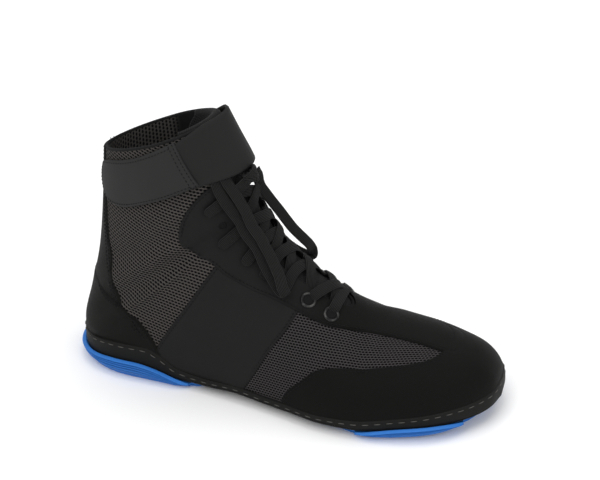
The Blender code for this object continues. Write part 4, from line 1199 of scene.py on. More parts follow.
class Lacing:
    """Lace runs over the throat, metal eyelets, the bow's knot and its two loops."""

    KNOT = (14.55, -0.045, 0.0105)
    NEAR_DOWN = ((15.25, -0.192, 0.0034), (14.85, -0.192, 0.0048), (14.30, -0.184, 0.0068), (13.30, -0.163, 0.0082),
                 (12.50, -0.152, 0.0086), (11.40, -0.156, 0.0086), (10.25, -0.170, 0.0085), (9.30, -0.212, 0.0078),
                 (8.50, -0.265, 0.0068))
    NEAR_FOLD = ((8.04, -0.298, 0.0066), (7.86, -0.302, 0.0088), (8.05, -0.284, 0.0112))
    NEAR_UP = ((8.45, -0.232, 0.0114), (8.95, -0.190, 0.0112), (9.80, -0.152, 0.0112), (10.70, -0.130, 0.0114),
               (11.90, -0.122, 0.0114), (13.07, -0.122, 0.0110), (14.20, -0.136, 0.0088), (14.85, -0.147, 0.0062),
               (15.25, -0.152, 0.0044))
    FAR_DOWN = ((14.40, 0.012, 0.0080), (13.80, 0.035, 0.0070), (13.14, 0.050, 0.0064), (12.33, 0.060, 0.0074),
                (11.48, 0.070, 0.0086), (10.70, 0.078, 0.0096), (10.01, 0.088, 0.0101), (9.40, 0.102, 0.0106),
                (8.90, 0.124, 0.0110), (8.46, 0.160, 0.0114), (8.16, 0.205, 0.0116))
    FAR_FOLD = ((7.96, 0.258, 0.0112), (7.88, 0.292, 0.0098), (8.06, 0.312, 0.0080))
    FAR_UP = ((8.70, 0.308, 0.0068), (9.50, 0.282, 0.0064), (10.40, 0.244, 0.0064), (11.60, 0.196, 0.0064),
              (12.80, 0.138, 0.0066), (13.80, 0.080, 0.0070), (14.30, 0.036, 0.0080))
    FAR_FACING = (0.29, -0.79, 0.54)

    def __init__(self, last: Last, sizes: LaceSizes, finishes: Finishes) -> None:
        """Keeps the form, the sizes and the finishes."""
        self.last, self.sizes, self.finishes = last, sizes, finishes

    def _curve(self, table: Table, count: int) -> tuple[Array, Array]:
        """Smooth path through a table of stations.

        Args:
            table: (s, signed place, lift) of each station.
            count: number of points.
        Returns:
            The path, and the last's normals along it.
        """
        s, place, lift = np.array(table).T
        corners, normals = self.last.placed(s, place, lift), self.last.placed_normal(s, place)
        where = np.linspace(0, len(corners) - 1, count)
        path = np.stack([smooth_through(where, column) for column in corners.T], axis=1)
        facing = np.stack([smooth_through(where, column) for column in normals.T], axis=1)
        return path, unit(facing)

    @staticmethod
    def _folded(path: Array, normals: Array, stations: int, first: float,
                end: float) -> Array:
        """Facing of a band that turns half round where it folds back, like a belt.

        It is cos(turn) times the normal plus sin(turn) times the way the band went before the
        fold, the other way round where the fold rises.

        Args:
            path: middle line.
            normals: the last's normals along it.
            stations: number of stations that the path goes through.
            first: station where the fold starts.
            end: station where it ends.
        Returns:
            The facing at each point.
        """
        per_station = (len(path) - 1) / (stations - 1)
        turn = smooth_step(np.linspace(0, stations - 1, len(path)), first, end) * np.pi
        middle = int(round((first + end) / 2 * per_station))
        rising = float(np.dot(path[middle + 4] - path[middle - 4], normals[middle])) > 0
        before = unit(np.gradient(path, axis=0))[int(first * per_station) - 3]
        turned = before * (-1.0 if rising else 1.0)
        return normals * np.cos(turn)[:, None] + turned[None] * np.sin(turn)[:, None]

    def _loop(self, name: str, down: Table, fold: Table, up: Table,
              facing_to: Point | None = None) -> None:
        """A loop of the bow, out to its tip and back.

        Args:
            name: the CAD node that it stands for.
            down: stations of the strand that goes out.
            fold: stations of the tip.
            up: stations of the strand that comes back.
            facing_to: direction that the band looks in; without it, it turns over at the fold.
        """
        table = (*down, *fold, *up)
        path, normals = self._curve(table, 8 * (len(table) - 1) + 1)
        if facing_to is None:
            first = len(down) - 0.5
            facing = self._folded(path, normals, len(table), first, first + len(fold))
        else:
            facing = normals * 0.25 + np.array(facing_to)[None]
        surface = flat_lace(path, unit(facing), self.sizes.width, self.sizes.thickness)
        item = make_object(name + "_lace", surface, self.finishes.lace, [name])
        length = float(np.linalg.norm(np.diff(path, axis=0), axis=1).sum())
        LOG.info("%s is %.3f m long", name, length)
        tuple(path[0])
        [tuple(p) for p in path]

    def build_loops(self) -> None:
        """Both loops of the bow."""
        self._loop("bow_loop_near", self.NEAR_DOWN, self.NEAR_FOLD, self.NEAR_UP)
        self._loop("bow_loop_far", self.FAR_DOWN, self.FAR_FOLD, self.FAR_UP, self.FAR_FACING)

    def build_knot(self) -> None:
        """The knot: two turns of lace wrapped round an oval."""
        s, place, lift = (np.array(v) for v in self.KNOT)
        centre = self.last.placed(s, place, lift)
        up = self.last.placed_normal(s, place)
        ahead = unit(self.last.placed(s + 0.3, place, lift) - self.last.placed(s - 0.3, place, lift))
        side = unit(np.cross(up, ahead))
        parts = []
        for turn, shift in ((0.35, -0.0016), (-0.30, 0.0018)):
            angle = np.linspace(0, 2 * np.pi, 33)
            across = unit(side * math.cos(turn) + ahead * math.sin(turn))
            high, wide = np.cos(angle)[:, None], np.sin(angle)[:, None]
            ring = (centre + ahead * shift + up * high * self.sizes.knot_high
                    + across * wide * self.sizes.knot_wide)
            out = unit(up * high / self.sizes.knot_high + across * wide / self.sizes.knot_wide)
            parts.append(flat_lace(ring, out, self.sizes.width * 0.75, self.sizes.thickness))
        make_object("bow_knot_wraps", joined(parts), self.finishes.lace, ["bow_knot"])

    @property
    def _top(self) -> float:
        """Height of the middle of a lace that lies on the rings."""
        return self.sizes.seat + self.sizes.ring_height + self.sizes.thickness / 2

    def _led_out(self, path: Array, normals: Array) -> tuple[Array, Array]:
        """Path and normals with half a width of lace before the start, so that it covers its hole."""
        away = unit(path[0] - path[1]) * self.sizes.width * 0.5
        return (np.concatenate([[path[0] + away], [path[0] + away * 0.6], path]),
                np.concatenate([normals[:1], normals[:1], normals]))

    def _run(self, start: int, end: int, from_side: int, over: float) -> Surface:
        """One run: up out of a hole, over the throat and in under the other eyestay's edge.

        Its lift is level, plus a bell curve of height over, less a step down at each end.

        Args:
            start: number of the eyelet that it comes out of.
            end: number of the eyelet that it goes to.
            from_side: side of the first eyelet.
            over: height at which it passes over the run from the other side.
        Returns:
            The band.
        """
        ringed = start < self.sizes.ringed
        s0, t0 = self.sizes.eyelets[start]
        s1 = self.sizes.eyelets[end][0]
        t1 = float(self.last.throat_edge(np.array(s1), -from_side)) + 0.012
        share = np.linspace(0, 1, 26)
        s = s0 + (s1 - s0) * (share if ringed else smooth_step(share, 0.20, 1.15))
        place = from_side * (t0 - (t0 + t1) * share)
        lift = self._top + over * np.exp(-((share - 0.55) / 0.22) ** 2)
        lift -= (self._top + 0.0005) * (1 - smooth_step(share, 0.0, 0.16)) * ringed
        lift -= (self._top - 0.0002) * smooth_step(share, 0.72, 1.0)
        path, normals = self.last.placed(s, place, lift), self.last.placed_normal(s, place)
        if not ringed:
            path, normals = self._led_out(path, normals)
        return flat_lace(path, normals, self.sizes.width, self.sizes.thickness, round_start=True)

    def _bar(self) -> Surface:
        """The lowest run, straight across between the first pair of eyelets."""
        s, t = self.sizes.eyelets[0]
        share = np.linspace(0, 1, 30)
        dip = (self._top + 0.0005) * (2 - smooth_step(share, 0.0, 0.14) - smooth_step(1 - share, 0.0, 0.14))
        row, place = np.full(len(share), s), -t + 2 * t * share
        return flat_lace(self.last.placed(row, place, self._top - dip), self.last.placed_normal(row, place),
                         self.sizes.width, self.sizes.thickness, round_start=True, round_end=True)

    def build_runs(self) -> None:
        """Bottom bar, the crossings above it and the two strands up to the knot, one joined mesh."""
        parts = [self._bar()]
        for number, (low, high) in enumerate(zip(self.sizes.laced, self.sizes.laced[1:])):
            for side in Side:
                on_top = (side < 0) == (number % 2 == 0)
                over = self.sizes.over_rise if on_top else self.sizes.under_rise
                parts.append(self._run(high, low, side, over))
        s, t = self.sizes.eyelets[-1]
        knot_s, knot_place, knot_lift = self.KNOT
        share = np.linspace(0, 1, 20)
        for side in Side:
            row = s + (knot_s - s) * share ** 2
            place = side * t + (knot_place - side * t) * share
            lift = self._top + (knot_lift - self._top) * smooth_step(share, 0.3, 1.0)
            path, normals = self._led_out(self.last.placed(row, place, lift),
                                          self.last.placed_normal(row, place))
            parts.append(flat_lace(path, normals, self.sizes.width, self.sizes.thickness, round_start=True))
        make_object("lace_runs", joined(parts), self.finishes.lace, ["lace_crossings"])

    def _ring(self, s: float, t: float, side: int, ringed: bool) -> tuple[Surface, Surface]:
        """One eyelet: a rolled profile carried round its axis, and a dark disc in its hole, painted shade where the
        hole goes into the shoe.

        Args:
            s: section of its middle.
            t: place of its middle.
            side: side of the shoe.
            ringed: whether it is one of the large bare rings.
        Returns:
            The ring and the painted-shade disc in its hole.
        """
        sizes, turn = self.sizes, np.linspace(0, 2 * np.pi, 40, endpoint=False)
        outer = sizes.ring_outer if ringed else sizes.coated_outer
        inner = sizes.ring_inner if ringed else sizes.coated_inner
        height = sizes.ring_height if ringed else sizes.coated_height
        profile = [(outer, -0.0006), (outer, 0.0), (outer - sizes.lip, height * 0.75),
                   ((outer + inner) / 2, height), (inner + sizes.lip, height * 0.8), (inner, 0.0),
                   (inner, -0.0012)]
        centre = self.last.lifted(np.array(s), np.array(t), side, np.array(sizes.seat - sizes.ring_sunk))
        axis = self.last.normal(np.array(s), np.array(t), side)
        first = unit(np.cross(axis, (0.0, 1.0, 0.0)))
        second = np.cross(axis, first)
        spoke = np.cos(turn)[:, None] * first + np.sin(turn)[:, None] * second
        points = np.concatenate([centre + spoke * r + axis * h for r, h in profile])
        count, last = len(turn), (len(profile) - 1) * len(turn)
        faces = grid_faces(len(profile), count, wrap=True)
        faces += [(last + j, last + (j + 1) % count, (j + 1) % count, j) for j in range(count)]
        # a near-black disc over the hole: painted shade where the hole goes into the shoe
        disc = np.concatenate([[centre + axis * 0.00012], centre + spoke * inner * 1.02 + axis * 0.0001])
        hole = Surface(disc, [(0, 1 + j, 1 + (j + 1) % count) for j in range(count)])
        return oriented(Surface(points, faces)), hole

    def build_eyelets(self) -> None:
        """Rolled metal rings round the lace holes, each with a dark disc of painted shade in its hole."""
        rings, holes, coated = [], [], []
        for number, (s, t) in enumerate(self.sizes.eyelets):
            ringed = number < self.sizes.ringed
            for side in Side:
                ring, hole = self._ring(s, t, side, ringed)
                (rings if ringed else coated).append(ring)
                holes.append(hole)
        count = 2 * self.sizes.ringed
        nodes = [f"eyelet_{n}_{word}" for n in range(1, 9) for word in ("lateral", "medial")]
        make_object("eyelet_rings", joined(rings), self.finishes.metal, nodes[:count])
        make_object("eyelet_rings_coated", joined(coated), self.finishes.thread, nodes[count:])
        # painted shade: the dark discs in the eyelets' holes
        make_object("eyelet_hole_shade", joined(holes), self.finishes.thread)


# Upper


@dataclass(frozen=True)
class Panel:
    """An overlay: its edge as (s, t) points, the points that close it for the inside test, and its height."""

    region: Region
    edge: tuple[tuple[float, float], ...]
    closing: tuple[tuple[float, float], ...]
    height: float
    stitched: tuple[float, ...] = (0.0016,)
    medial_edge: tuple[tuple[float, float], ...] = ()
    sewn_from: tuple[float, float] = (0.0, 0.0)

    def edge_on(self, side: int) -> tuple[tuple[float, float], ...]:
        """The edge on one side; the medial one may differ."""
        return self.medial_edge if side > 0 and self.medial_edge else self.edge


PANELS = (
    Panel(Region.STAY, ((10.55, 0.745), (10.80, 0.700), (11.25, 0.652), (11.63, 0.618), (12.10, 0.612),
                        (12.60, 0.626), (13.20, 0.655), (14.03, 0.704), (14.80, 0.755), (15.52, 0.803),
                        (16.20, 0.835),
                        (17.20, 0.872)),
          ((17.5, 1.1), (10.3, 1.1), (10.3, 0.80)), 0.0012, stitched=(0.0014, 0.0036)),
    Panel(Region.MID, ((7.28, 0.300), (7.34, 0.357), (7.50, 0.500), (7.76, 0.643), (7.95, 0.800),
                       (8.10, 0.944),
                       (8.16, 1.05), (10.28, 1.05), (10.38, 0.90), (10.56, 0.699), (10.75, 0.507), (10.92, 0.405),
                       (11.08, 0.330), (11.15, 0.290)),
          ((9.5, 0.27),), 0.0012),
    Panel(Region.EYESTAY, ((2.60, -0.02), (2.64, 0.060), (2.78, 0.105), (3.07, 0.121), (3.68, 0.116), (4.05, 0.120),
                           (4.40, 0.127), (4.92, 0.155), (5.43, 0.205), (5.94, 0.266), (6.39, 0.318), (6.80, 0.344),
                           (7.05, 0.351), (7.40, 0.353),
                           (8.30, 0.352), (9.30, 0.347), (10.30, 0.336), (11.00, 0.322), (11.60, 0.318),
                           (12.20, 0.328), (12.82, 0.348), (13.40, 0.371), (13.90, 0.380), (14.35, 0.368),
                           (14.67, 0.340), (14.90, 0.290), (15.00, 0.230), (15.02, 0.10)),
          ((15.02, -0.1), (2.6, -0.1)), 0.0017, sewn_from=(3.1, 0.0),
          medial_edge=((2.60, -0.02), (2.62, 0.120), (2.80, 0.270), (3.40, 0.400), (4.00, 0.490), (4.70, 0.545),
                       (5.40, 0.565), (6.10, 0.560), (6.70, 0.510), (7.20, 0.430), (7.60, 0.375), (8.30, 0.354),
                       (9.30, 0.347), (10.30, 0.336), (11.00, 0.322), (11.60, 0.318), (12.20, 0.328),
                       (12.82, 0.348), (13.40, 0.371), (13.90, 0.380), (14.35, 0.368), (14.67, 0.340),
                       (14.90, 0.290), (15.00, 0.230), (15.02, 0.10))),
    Panel(Region.COUNTER, ((14.35, 1.05), (14.20, 0.930), (13.85, 0.800), (13.30, 0.715), (12.75, 0.645),
                           (12.20, 0.603), (11.70, 0.605), (11.16, 0.642), (10.75, 0.690), (10.52, 0.730)),
          ((10.2, 0.80), (10.2, 1.1), (14.35, 1.1)), 0.0017),
    Panel(Region.CAP, ((3.06, -0.03), (3.06, 0.050), (3.09, 0.130), (3.35, 0.261), (3.91, 0.363), (4.75, 0.461),
                       (5.40, 0.527), (5.99, 0.596), (6.37, 0.667), (6.65, 0.759), (6.88, 0.825), (7.05, 0.885),
                       (7.11, 0.950), (7.14, 1.05)),
          ((-1.0, 1.1), (-1.0, -0.1)), 0.0017, sewn_from=(0.0, 0.14)),
)


@dataclass(frozen=True)
class UpperSizes:
    """Grid and wall of the upper; creases are soft troughs as (s, t, length, width, depth, slant).

    Where a depth is negative the fold stands proud. crease_medial is the folds' share on that side.
    """

    rows: int = 480
    lateral_columns: int = 132
    medial_columns: int = 66
    wall: float = 0.0022
    skin_rise: float = 0.0003
    groove_depth: float = 0.00022
    groove_width: float = 0.0008
    crease_medial: float = 0.7
    creases: tuple[tuple[float, float, float, float, float, float], ...] = (
        (12.90, 0.52, 0.30, 0.42, 0.00240, 0.5), (12.20, 0.50, 0.22, 0.30, -0.00150, 0.5),
        (13.60, 0.52, 0.30, 0.40, -0.00135, 0.4), (14.35, 0.60, 0.24, 0.34, 0.00165, 0.2),
        (9.60, 0.60, 0.34, 0.50, 0.00150, -0.6), (8.90, 0.66, 0.30, 0.40, -0.00090, -0.6),
        (5.10, 0.42, 0.25, 0.30, 0.00105, -0.5), (4.70, 0.45, 0.25, 0.30, -0.00075, -0.5),
        (11.60, 0.80, 0.22, 0.60, 0.00135, 0.3))
    tongue_rows: int = 200
    tongue_columns: int = 44
    tongue_top: float = 0.55


class Upper:
    """Outer skin with its overlays, seams, lining, binding and tongue."""

    def __init__(self, last: Last, sizes: UpperSizes, finishes: Finishes) -> None:
        """Keeps the form, the sizes and the finishes."""
        self.last, self.sizes, self.finishes = last, sizes, finishes
        self.edges: dict[tuple[Region, int], tuple[Array, Array]] = {}

    @staticmethod
    def _inside(s: Array, t: Array, corners: Array) -> Array:
        """Even-odd test against a closed outline in (s, t).

        Args:
            s: section numbers of the points.
            t: their places.
            corners: the outline's corners.
        Returns:
            Whether each point lies inside.
        """
        inside = np.zeros(s.shape, dtype=bool)
        for (s0, t0), (s1, t1) in zip(corners, np.roll(corners, -1, axis=0)):
            if s0 == s1:
                continue
            crosses = (s0 > s) != (s1 > s)
            inside ^= crosses & (t < t0 + (s - s0) / (s1 - s0) * (t1 - t0))
        return inside

    @staticmethod
    def _dense(edge: Sequence[tuple[float, float]], per_run: int = 24) -> Array:
        """Smooth curve through an edge's points in (s, t)."""
        table = np.array(edge)
        where = np.linspace(0, len(table) - 1, per_run * (len(table) - 1) + 1)
        return np.stack([smooth_through(where, table[:, k]) for k in range(2)], axis=1)

    def _distance(self, panel: Panel, side: int, s: Array, t: Array, points: Array) -> Array:
        """Signed distance to a panel's edge, kept for the seams as well.

        Args:
            panel: the overlay.
            side: side of the shoe.
            s: section numbers of the points.
            t: their places.
            points: the points themselves, on the last.
        Returns:
            Distance to the nearest of the edge's short straight pieces, in metres, positive inside.
        """
        dense = self._dense(panel.edge_on(side))
        on = self.last.lifted(dense[:, 0], np.clip(dense[:, 1], 0, 1), side, np.zeros(len(dense)))
        shown = (dense[:, 1] > -0.001) & (dense[:, 1] <= 1.0) & (dense[:, 0] <= TOP_ROW)
        self.edges[panel.region, side] = (dense[shown], on[shown])
        line = on[shown]
        tree = KDTree(len(line))
        for index, point in enumerate(line):
            tree.insert(point, index)
        tree.balance()
        near = np.array([tree.find(point)[1] for point in points])
        best = np.full(len(points), 1.0)
        for shift in (-1, 0):
            a = line[np.clip(near + shift, 0, len(line) - 2)]
            b = line[np.clip(near + shift, 0, len(line) - 2) + 1]
            ab = b - a
            share = np.einsum("ij,ij->i", points - a, ab) / np.maximum(np.einsum("ij,ij->i", ab, ab), 1e-14)
            share = np.clip(share, 0, 1)
            best = np.minimum(best, np.linalg.norm(points - a - ab * share[:, None], axis=1))
        outline = np.concatenate([dense, np.array(panel.closing)])
        return np.where(self._inside(s, t, outline), best, -best)

    def height(self, distances: dict[Region, Array]) -> Array:
        """Height of the outer surface over the last: each overlay rises over 0.9 mm at its edge.

        Args:
            distances: signed distance to each overlay's edge.
        Returns:
            The highest of the overlays, less a shallow bell-shaped groove along each sewn row.
        """
        base = self.sizes.skin_rise
        lift = np.full(len(next(iter(distances.values()))), base)
        for panel in PANELS:
            rise = smooth_step(distances[panel.region], -0.0003, 0.0006)
            lift = np.maximum(lift, base + (panel.height - base) * rise)
        for panel in PANELS:
            sewn = (distances[panel.region] - panel.stitched[0]) / self.sizes.groove_width
            lift -= self.sizes.groove_depth * np.exp(-sewn ** 2)
        return lift

    def _crease(self, s: Array, t: Array, side: int) -> Array:
        """Soft troughs and ridges: sums of depth times two bell curves, along and across each fold."""
        total = np.zeros(s.shape)
        for row, place, long, wide, depth, slant in self.sizes.creases:
            along = (t - place) / long
            across = (s - row - slant * (t - place) * 3) / wide
            share = 1.0 if side < 0 else self.sizes.crease_medial
            total -= depth * np.exp(-along ** 2 - across ** 2) * share
        return total

    def _weave_place(self, s: Array, t: Array, points: Array, columns: int) -> Array:
        """UV in mm: x and the way up from the feather line at the forefoot, x and z behind it."""
        grid = points.reshape(-1, columns, 3)
        run = np.linalg.norm(np.diff(grid, axis=1), axis=2)
        way = np.cumsum(run[:, ::-1], axis=1)[:, ::-1]
        up = np.concatenate([way, np.zeros((len(grid), 1))], axis=1)
        rear = s > 9.2
        return np.stack([points[:, 0], np.where(rear, points[:, 2], up.ravel())], axis=1) * MM

    def build_skin(self) -> None:
        """One mesh over both sides, welded along the ridge and the heel's back."""
        parts = []
        for side, columns in ((-1, self.sizes.lateral_columns), (1, self.sizes.medial_columns)):
            s, share = np.meshgrid(np.linspace(0, TOP_ROW, self.sizes.rows), np.linspace(0, 1, columns),
                                   indexing="ij")
            start = self.last.throat_edge(s[:, 0], side)[:, None]
            t = start + (1 - start) * share
            s, t = s.ravel(), t.ravel()
            flat = self.last.lifted(s, t, side, np.zeros(len(s)))
            distances = {panel.region: self._distance(panel, side, s, t, flat) for panel in PANELS}
            lift = self.height(distances) + self._crease(s, t, side)
            points = self.last.lifted(s, t, side, lift)
            uv = self._weave_place(s, t, flat, columns)
            marks = {region.value: np.clip(values * MM, -9, 9) for region, values in distances.items()}
            marks["station"] = s
            parts.append(Surface(points, grid_faces(self.sizes.rows, columns, flip=side > 0), uv, marks))
        make_object("upper_skin", joined(parts).welded(4e-6), self.finishes.skin,
                    ["upper", "toe_cap", "saddle_panel", "heel_counter"])

    def build_seams(self) -> None:
        """Sewn rows just inside each overlay's edge."""
        thread, rows = Thread(), []
        for panel in PANELS:
            for side in Side:
                dense, line = self.edges[panel.region, side]
                clear = dense[:, 1] > np.where(dense[:, 0] > THROAT_START,
                                               self.last.throat_edge(dense[:, 0], side), 0.0) + 0.01
                clear &= (dense[:, 0] >= panel.sewn_from[0]) & (dense[:, 1] >= panel.sewn_from[1])
                dense, line = dense[clear], line[clear]
                if len(line) < 4:
                    continue
                line, share = spaced(line, 0.0008)
                where = share * (len(dense) - 1)
                place = read_at(where, np.arange(len(dense)), dense)
                normal = self.last.normal(place[:, 0], np.clip(place[:, 1], 0, 1), side)
                inward = unit(np.cross(normal, unit(np.gradient(line, axis=0)))) * side
                for inset in panel.stitched:
                    for sign in (1.0, -1.0):
                        path = line + inward * inset * sign
                        if self._points_inside(panel, side, path):
                            sink = inset ** 2 * 25
                            rows.append(thread.row(path + normal * (panel.height - 0.00008 - sink), normal))
                            break
        make_object("upper_stitches", joined(rows), self.finishes.thread)

    def _points_inside(self, panel: Panel, side: int, path: Array) -> bool:
        """Whether most of a path lies inside a panel, by the nearest (s, t) of a coarse grid."""
        s, t = (v.ravel() for v in np.meshgrid(np.linspace(0, TOP_ROW, 240), np.linspace(0, 1, 60),
                                               indexing="ij"))
        points = self.last.lifted(s, t, side, np.zeros(len(s)))
        probes = path[:: max(1, len(path) // 25)]
        near = np.argmin(((probes[:, None] - points[None]) ** 2).sum(axis=2), axis=1)
        outline = np.concatenate([self._dense(panel.edge_on(side)), np.array(panel.closing)])
        return bool(self._inside(s[near], t[near], outline).mean() > 0.5)

    def build_lining(self) -> None:
        """Inner surface of the wall, from the collar down to the insole."""
        parts = []
        for side in Side:
            rows, columns = 150, 48
            s, share = np.meshgrid(np.linspace(0.6, TOP_ROW, rows), np.linspace(0, 1, columns), indexing="ij")
            start = self.last.throat_edge(s[:, 0], side)[:, None]
            t = (start + (1 - start) * share).ravel()
            s = s.ravel()
            points = self.last.lifted(s, t, side, np.full(len(s), -self.sizes.wall))
            uv = np.stack([s * 24.0, t * 110.0], axis=1)
            parts.append(Surface(points, grid_faces(rows, columns, flip=side < 0), uv))
        make_object("upper_lining", joined(parts).welded(4e-6), self.finishes.lining)

    def build_binding(self) -> None:
        """Rolled edge round the collar and down both sides of the throat, one closed loop."""
        throat = np.linspace(THROAT_START, TOP_ROW, 120)
        around = np.linspace(0, 1, 70)
        pieces = []
        for side in Side:
            edge = self.last.throat_edge(throat, side)
            down = self.last.lifted(throat, edge, side, np.full(len(throat), -0.0009))
            start = float(edge[-1])
            ring_t = start + (1 - start) * around
            ring = self.last.lifted(np.full(70, TOP_ROW), ring_t, side, np.full(70, -0.0009))
            pieces.append((down, ring))
        (down_l, ring_l), (down_m, ring_m) = pieces
        path = np.concatenate([down_l, ring_l[1:], ring_m[::-1][1:], down_m[::-1][1:-1]])
        path, _ = spaced(np.concatenate([path, path[:1]]), 0.0016)
        make_object("collar_binding", closed_tube(path[:-1], 0.0013, 12), self.finishes.binding)

    def _tongue_layer(self, s_line: Array, share: Array, outer: bool) -> Array:
        """One face of the tongue.

        Args:
            s_line: section numbers, past TOP_ROW where the tongue stands over the collar.
            share: places across it, -1 at the lateral edge to 1 at the medial one.
            outer: whether it is the outer face.
        Returns:
            Its grid of points.
        """
        top = self.sizes.tongue_top
        s = np.minimum(s_line, TOP_ROW)
        narrow = 1 - 0.45 * smooth_step(s_line, TOP_ROW - 0.9, TOP_ROW + top) ** 2
        starting = smooth_step(s_line, THROAT_START - 0.5, THROAT_START + 0.8)[:, None]
        grid = []
        for side in Side:
            edge = self.last.t_at_half_width(s, side, np.full(len(s), self.last.sizes.tongue_half_width))
            mine = share[share < 0] if side < 0 else share[share >= 0]
            t = abs(mine)[None] * (edge * narrow)[:, None]
            crown = (1 - abs(mine)[None] ** 2.4) * starting
            if outer:
                lift = -0.0029 + 0.0030 * crown + 0.0006 * np.sin(s_line * 2.6)[:, None] * crown
            else:
                lift = -0.0058 - 0.0006 * crown
            grid.append(self.last.lifted(np.broadcast_to(s[:, None], t.shape), t, side, lift))
        points = np.concatenate(grid, axis=1)
        over = (np.clip(s_line - TOP_ROW, 0, None) / top)[:, None, None]
        rise = unit(points[150] - points[130])
        last_row = points[np.argmax(s_line > TOP_ROW) - 1]
        return np.where(over > 0, last_row[None] + rise[None] * over * 0.0030, points)

    def build_tongue(self) -> None:
        """Padded tongue under the throat: its middle rises in a low crown that ends at its edges."""
        rows, columns, top = self.sizes.tongue_rows, self.sizes.tongue_columns, self.sizes.tongue_top
        s_line = np.linspace(THROAT_START - 1.0, TOP_ROW + top, rows)
        share = np.linspace(-1, 1, columns)
        outer, inner = (self._tongue_layer(s_line, share, face) for face in (True, False))
        middle = (outer + inner) / 2
        thick = rounded(1 - np.clip(s_line - TOP_ROW, 0, None) / top, 0.02)[:, None, None]
        outer, inner = middle + (outer - middle) * thick, middle + (inner - middle) * thick
        half = self.last.sizes.tongue_half_width * MM
        u, v = np.meshgrid(np.arange(rows) * 1.35, share * half, indexing="ij")
        uv = np.stack([u.ravel(), v.ravel()], axis=1)
        surface = oriented(Surface(np.concatenate([outer.reshape(-1, 3), inner.reshape(-1, 3)]),
                                   shell_faces(rows, columns), np.concatenate([uv, uv])))
        item = make_object("tongue_pad", surface, self.finishes.tongue, ["tongue"])


# Ankle strap


@dataclass(frozen=True)
class StrapSizes:
    """Strap and tab: (signed place, lower row, upper row, gap) stations, and the band's thickness."""

    thickness: float = 0.0020
    strap: tuple[tuple[float, float, float, float], ...] = (
        (-0.42, 15.48, 16.85, 0.0010), (-0.31, 15.38, 16.90, 0.0013), (-0.23, 15.24, 16.92, 0.0029),
        (-0.15, 15.08, 16.95, 0.0056), (-0.08, 14.95, 16.95, 0.0078), (0.0, 14.85, 16.95, 0.0088),
        (0.08, 14.90, 16.95, 0.0078), (0.15, 15.00, 16.95, 0.0056), (0.23, 15.10, 16.92, 0.0029),
        (0.31, 15.20, 16.90, 0.0013), (0.45, 15.40, 16.85, 0.0010), (0.62, 15.60, 16.80, 0.0010))
    tab: tuple[tuple[float, float, float, float], ...] = (
        (-0.86, 16.42, 16.74, 0.0010), (-0.83, 16.18, 16.77, 0.0010), (-0.77, 15.92, 16.80, 0.0010),
        (-0.69, 15.75, 16.80, 0.0010), (-0.61, 15.65, 16.80, 0.0012), (-0.52, 15.59, 16.83, 0.0026),
        (-0.45, 15.53, 16.87, 0.0034), (-0.38, 15.46, 16.92, 0.0035), (-0.31, 15.38, 16.96, 0.0037))
    tab_slant: float = 0.085
    top_hug: float = 0.72
    top_rise: float = 0.0048
    swell: float = 0.0004
    columns: int = 34
    strap_stations: int = 150
    tab_stations: int = 110
    tab_thicker: float = 0.0002


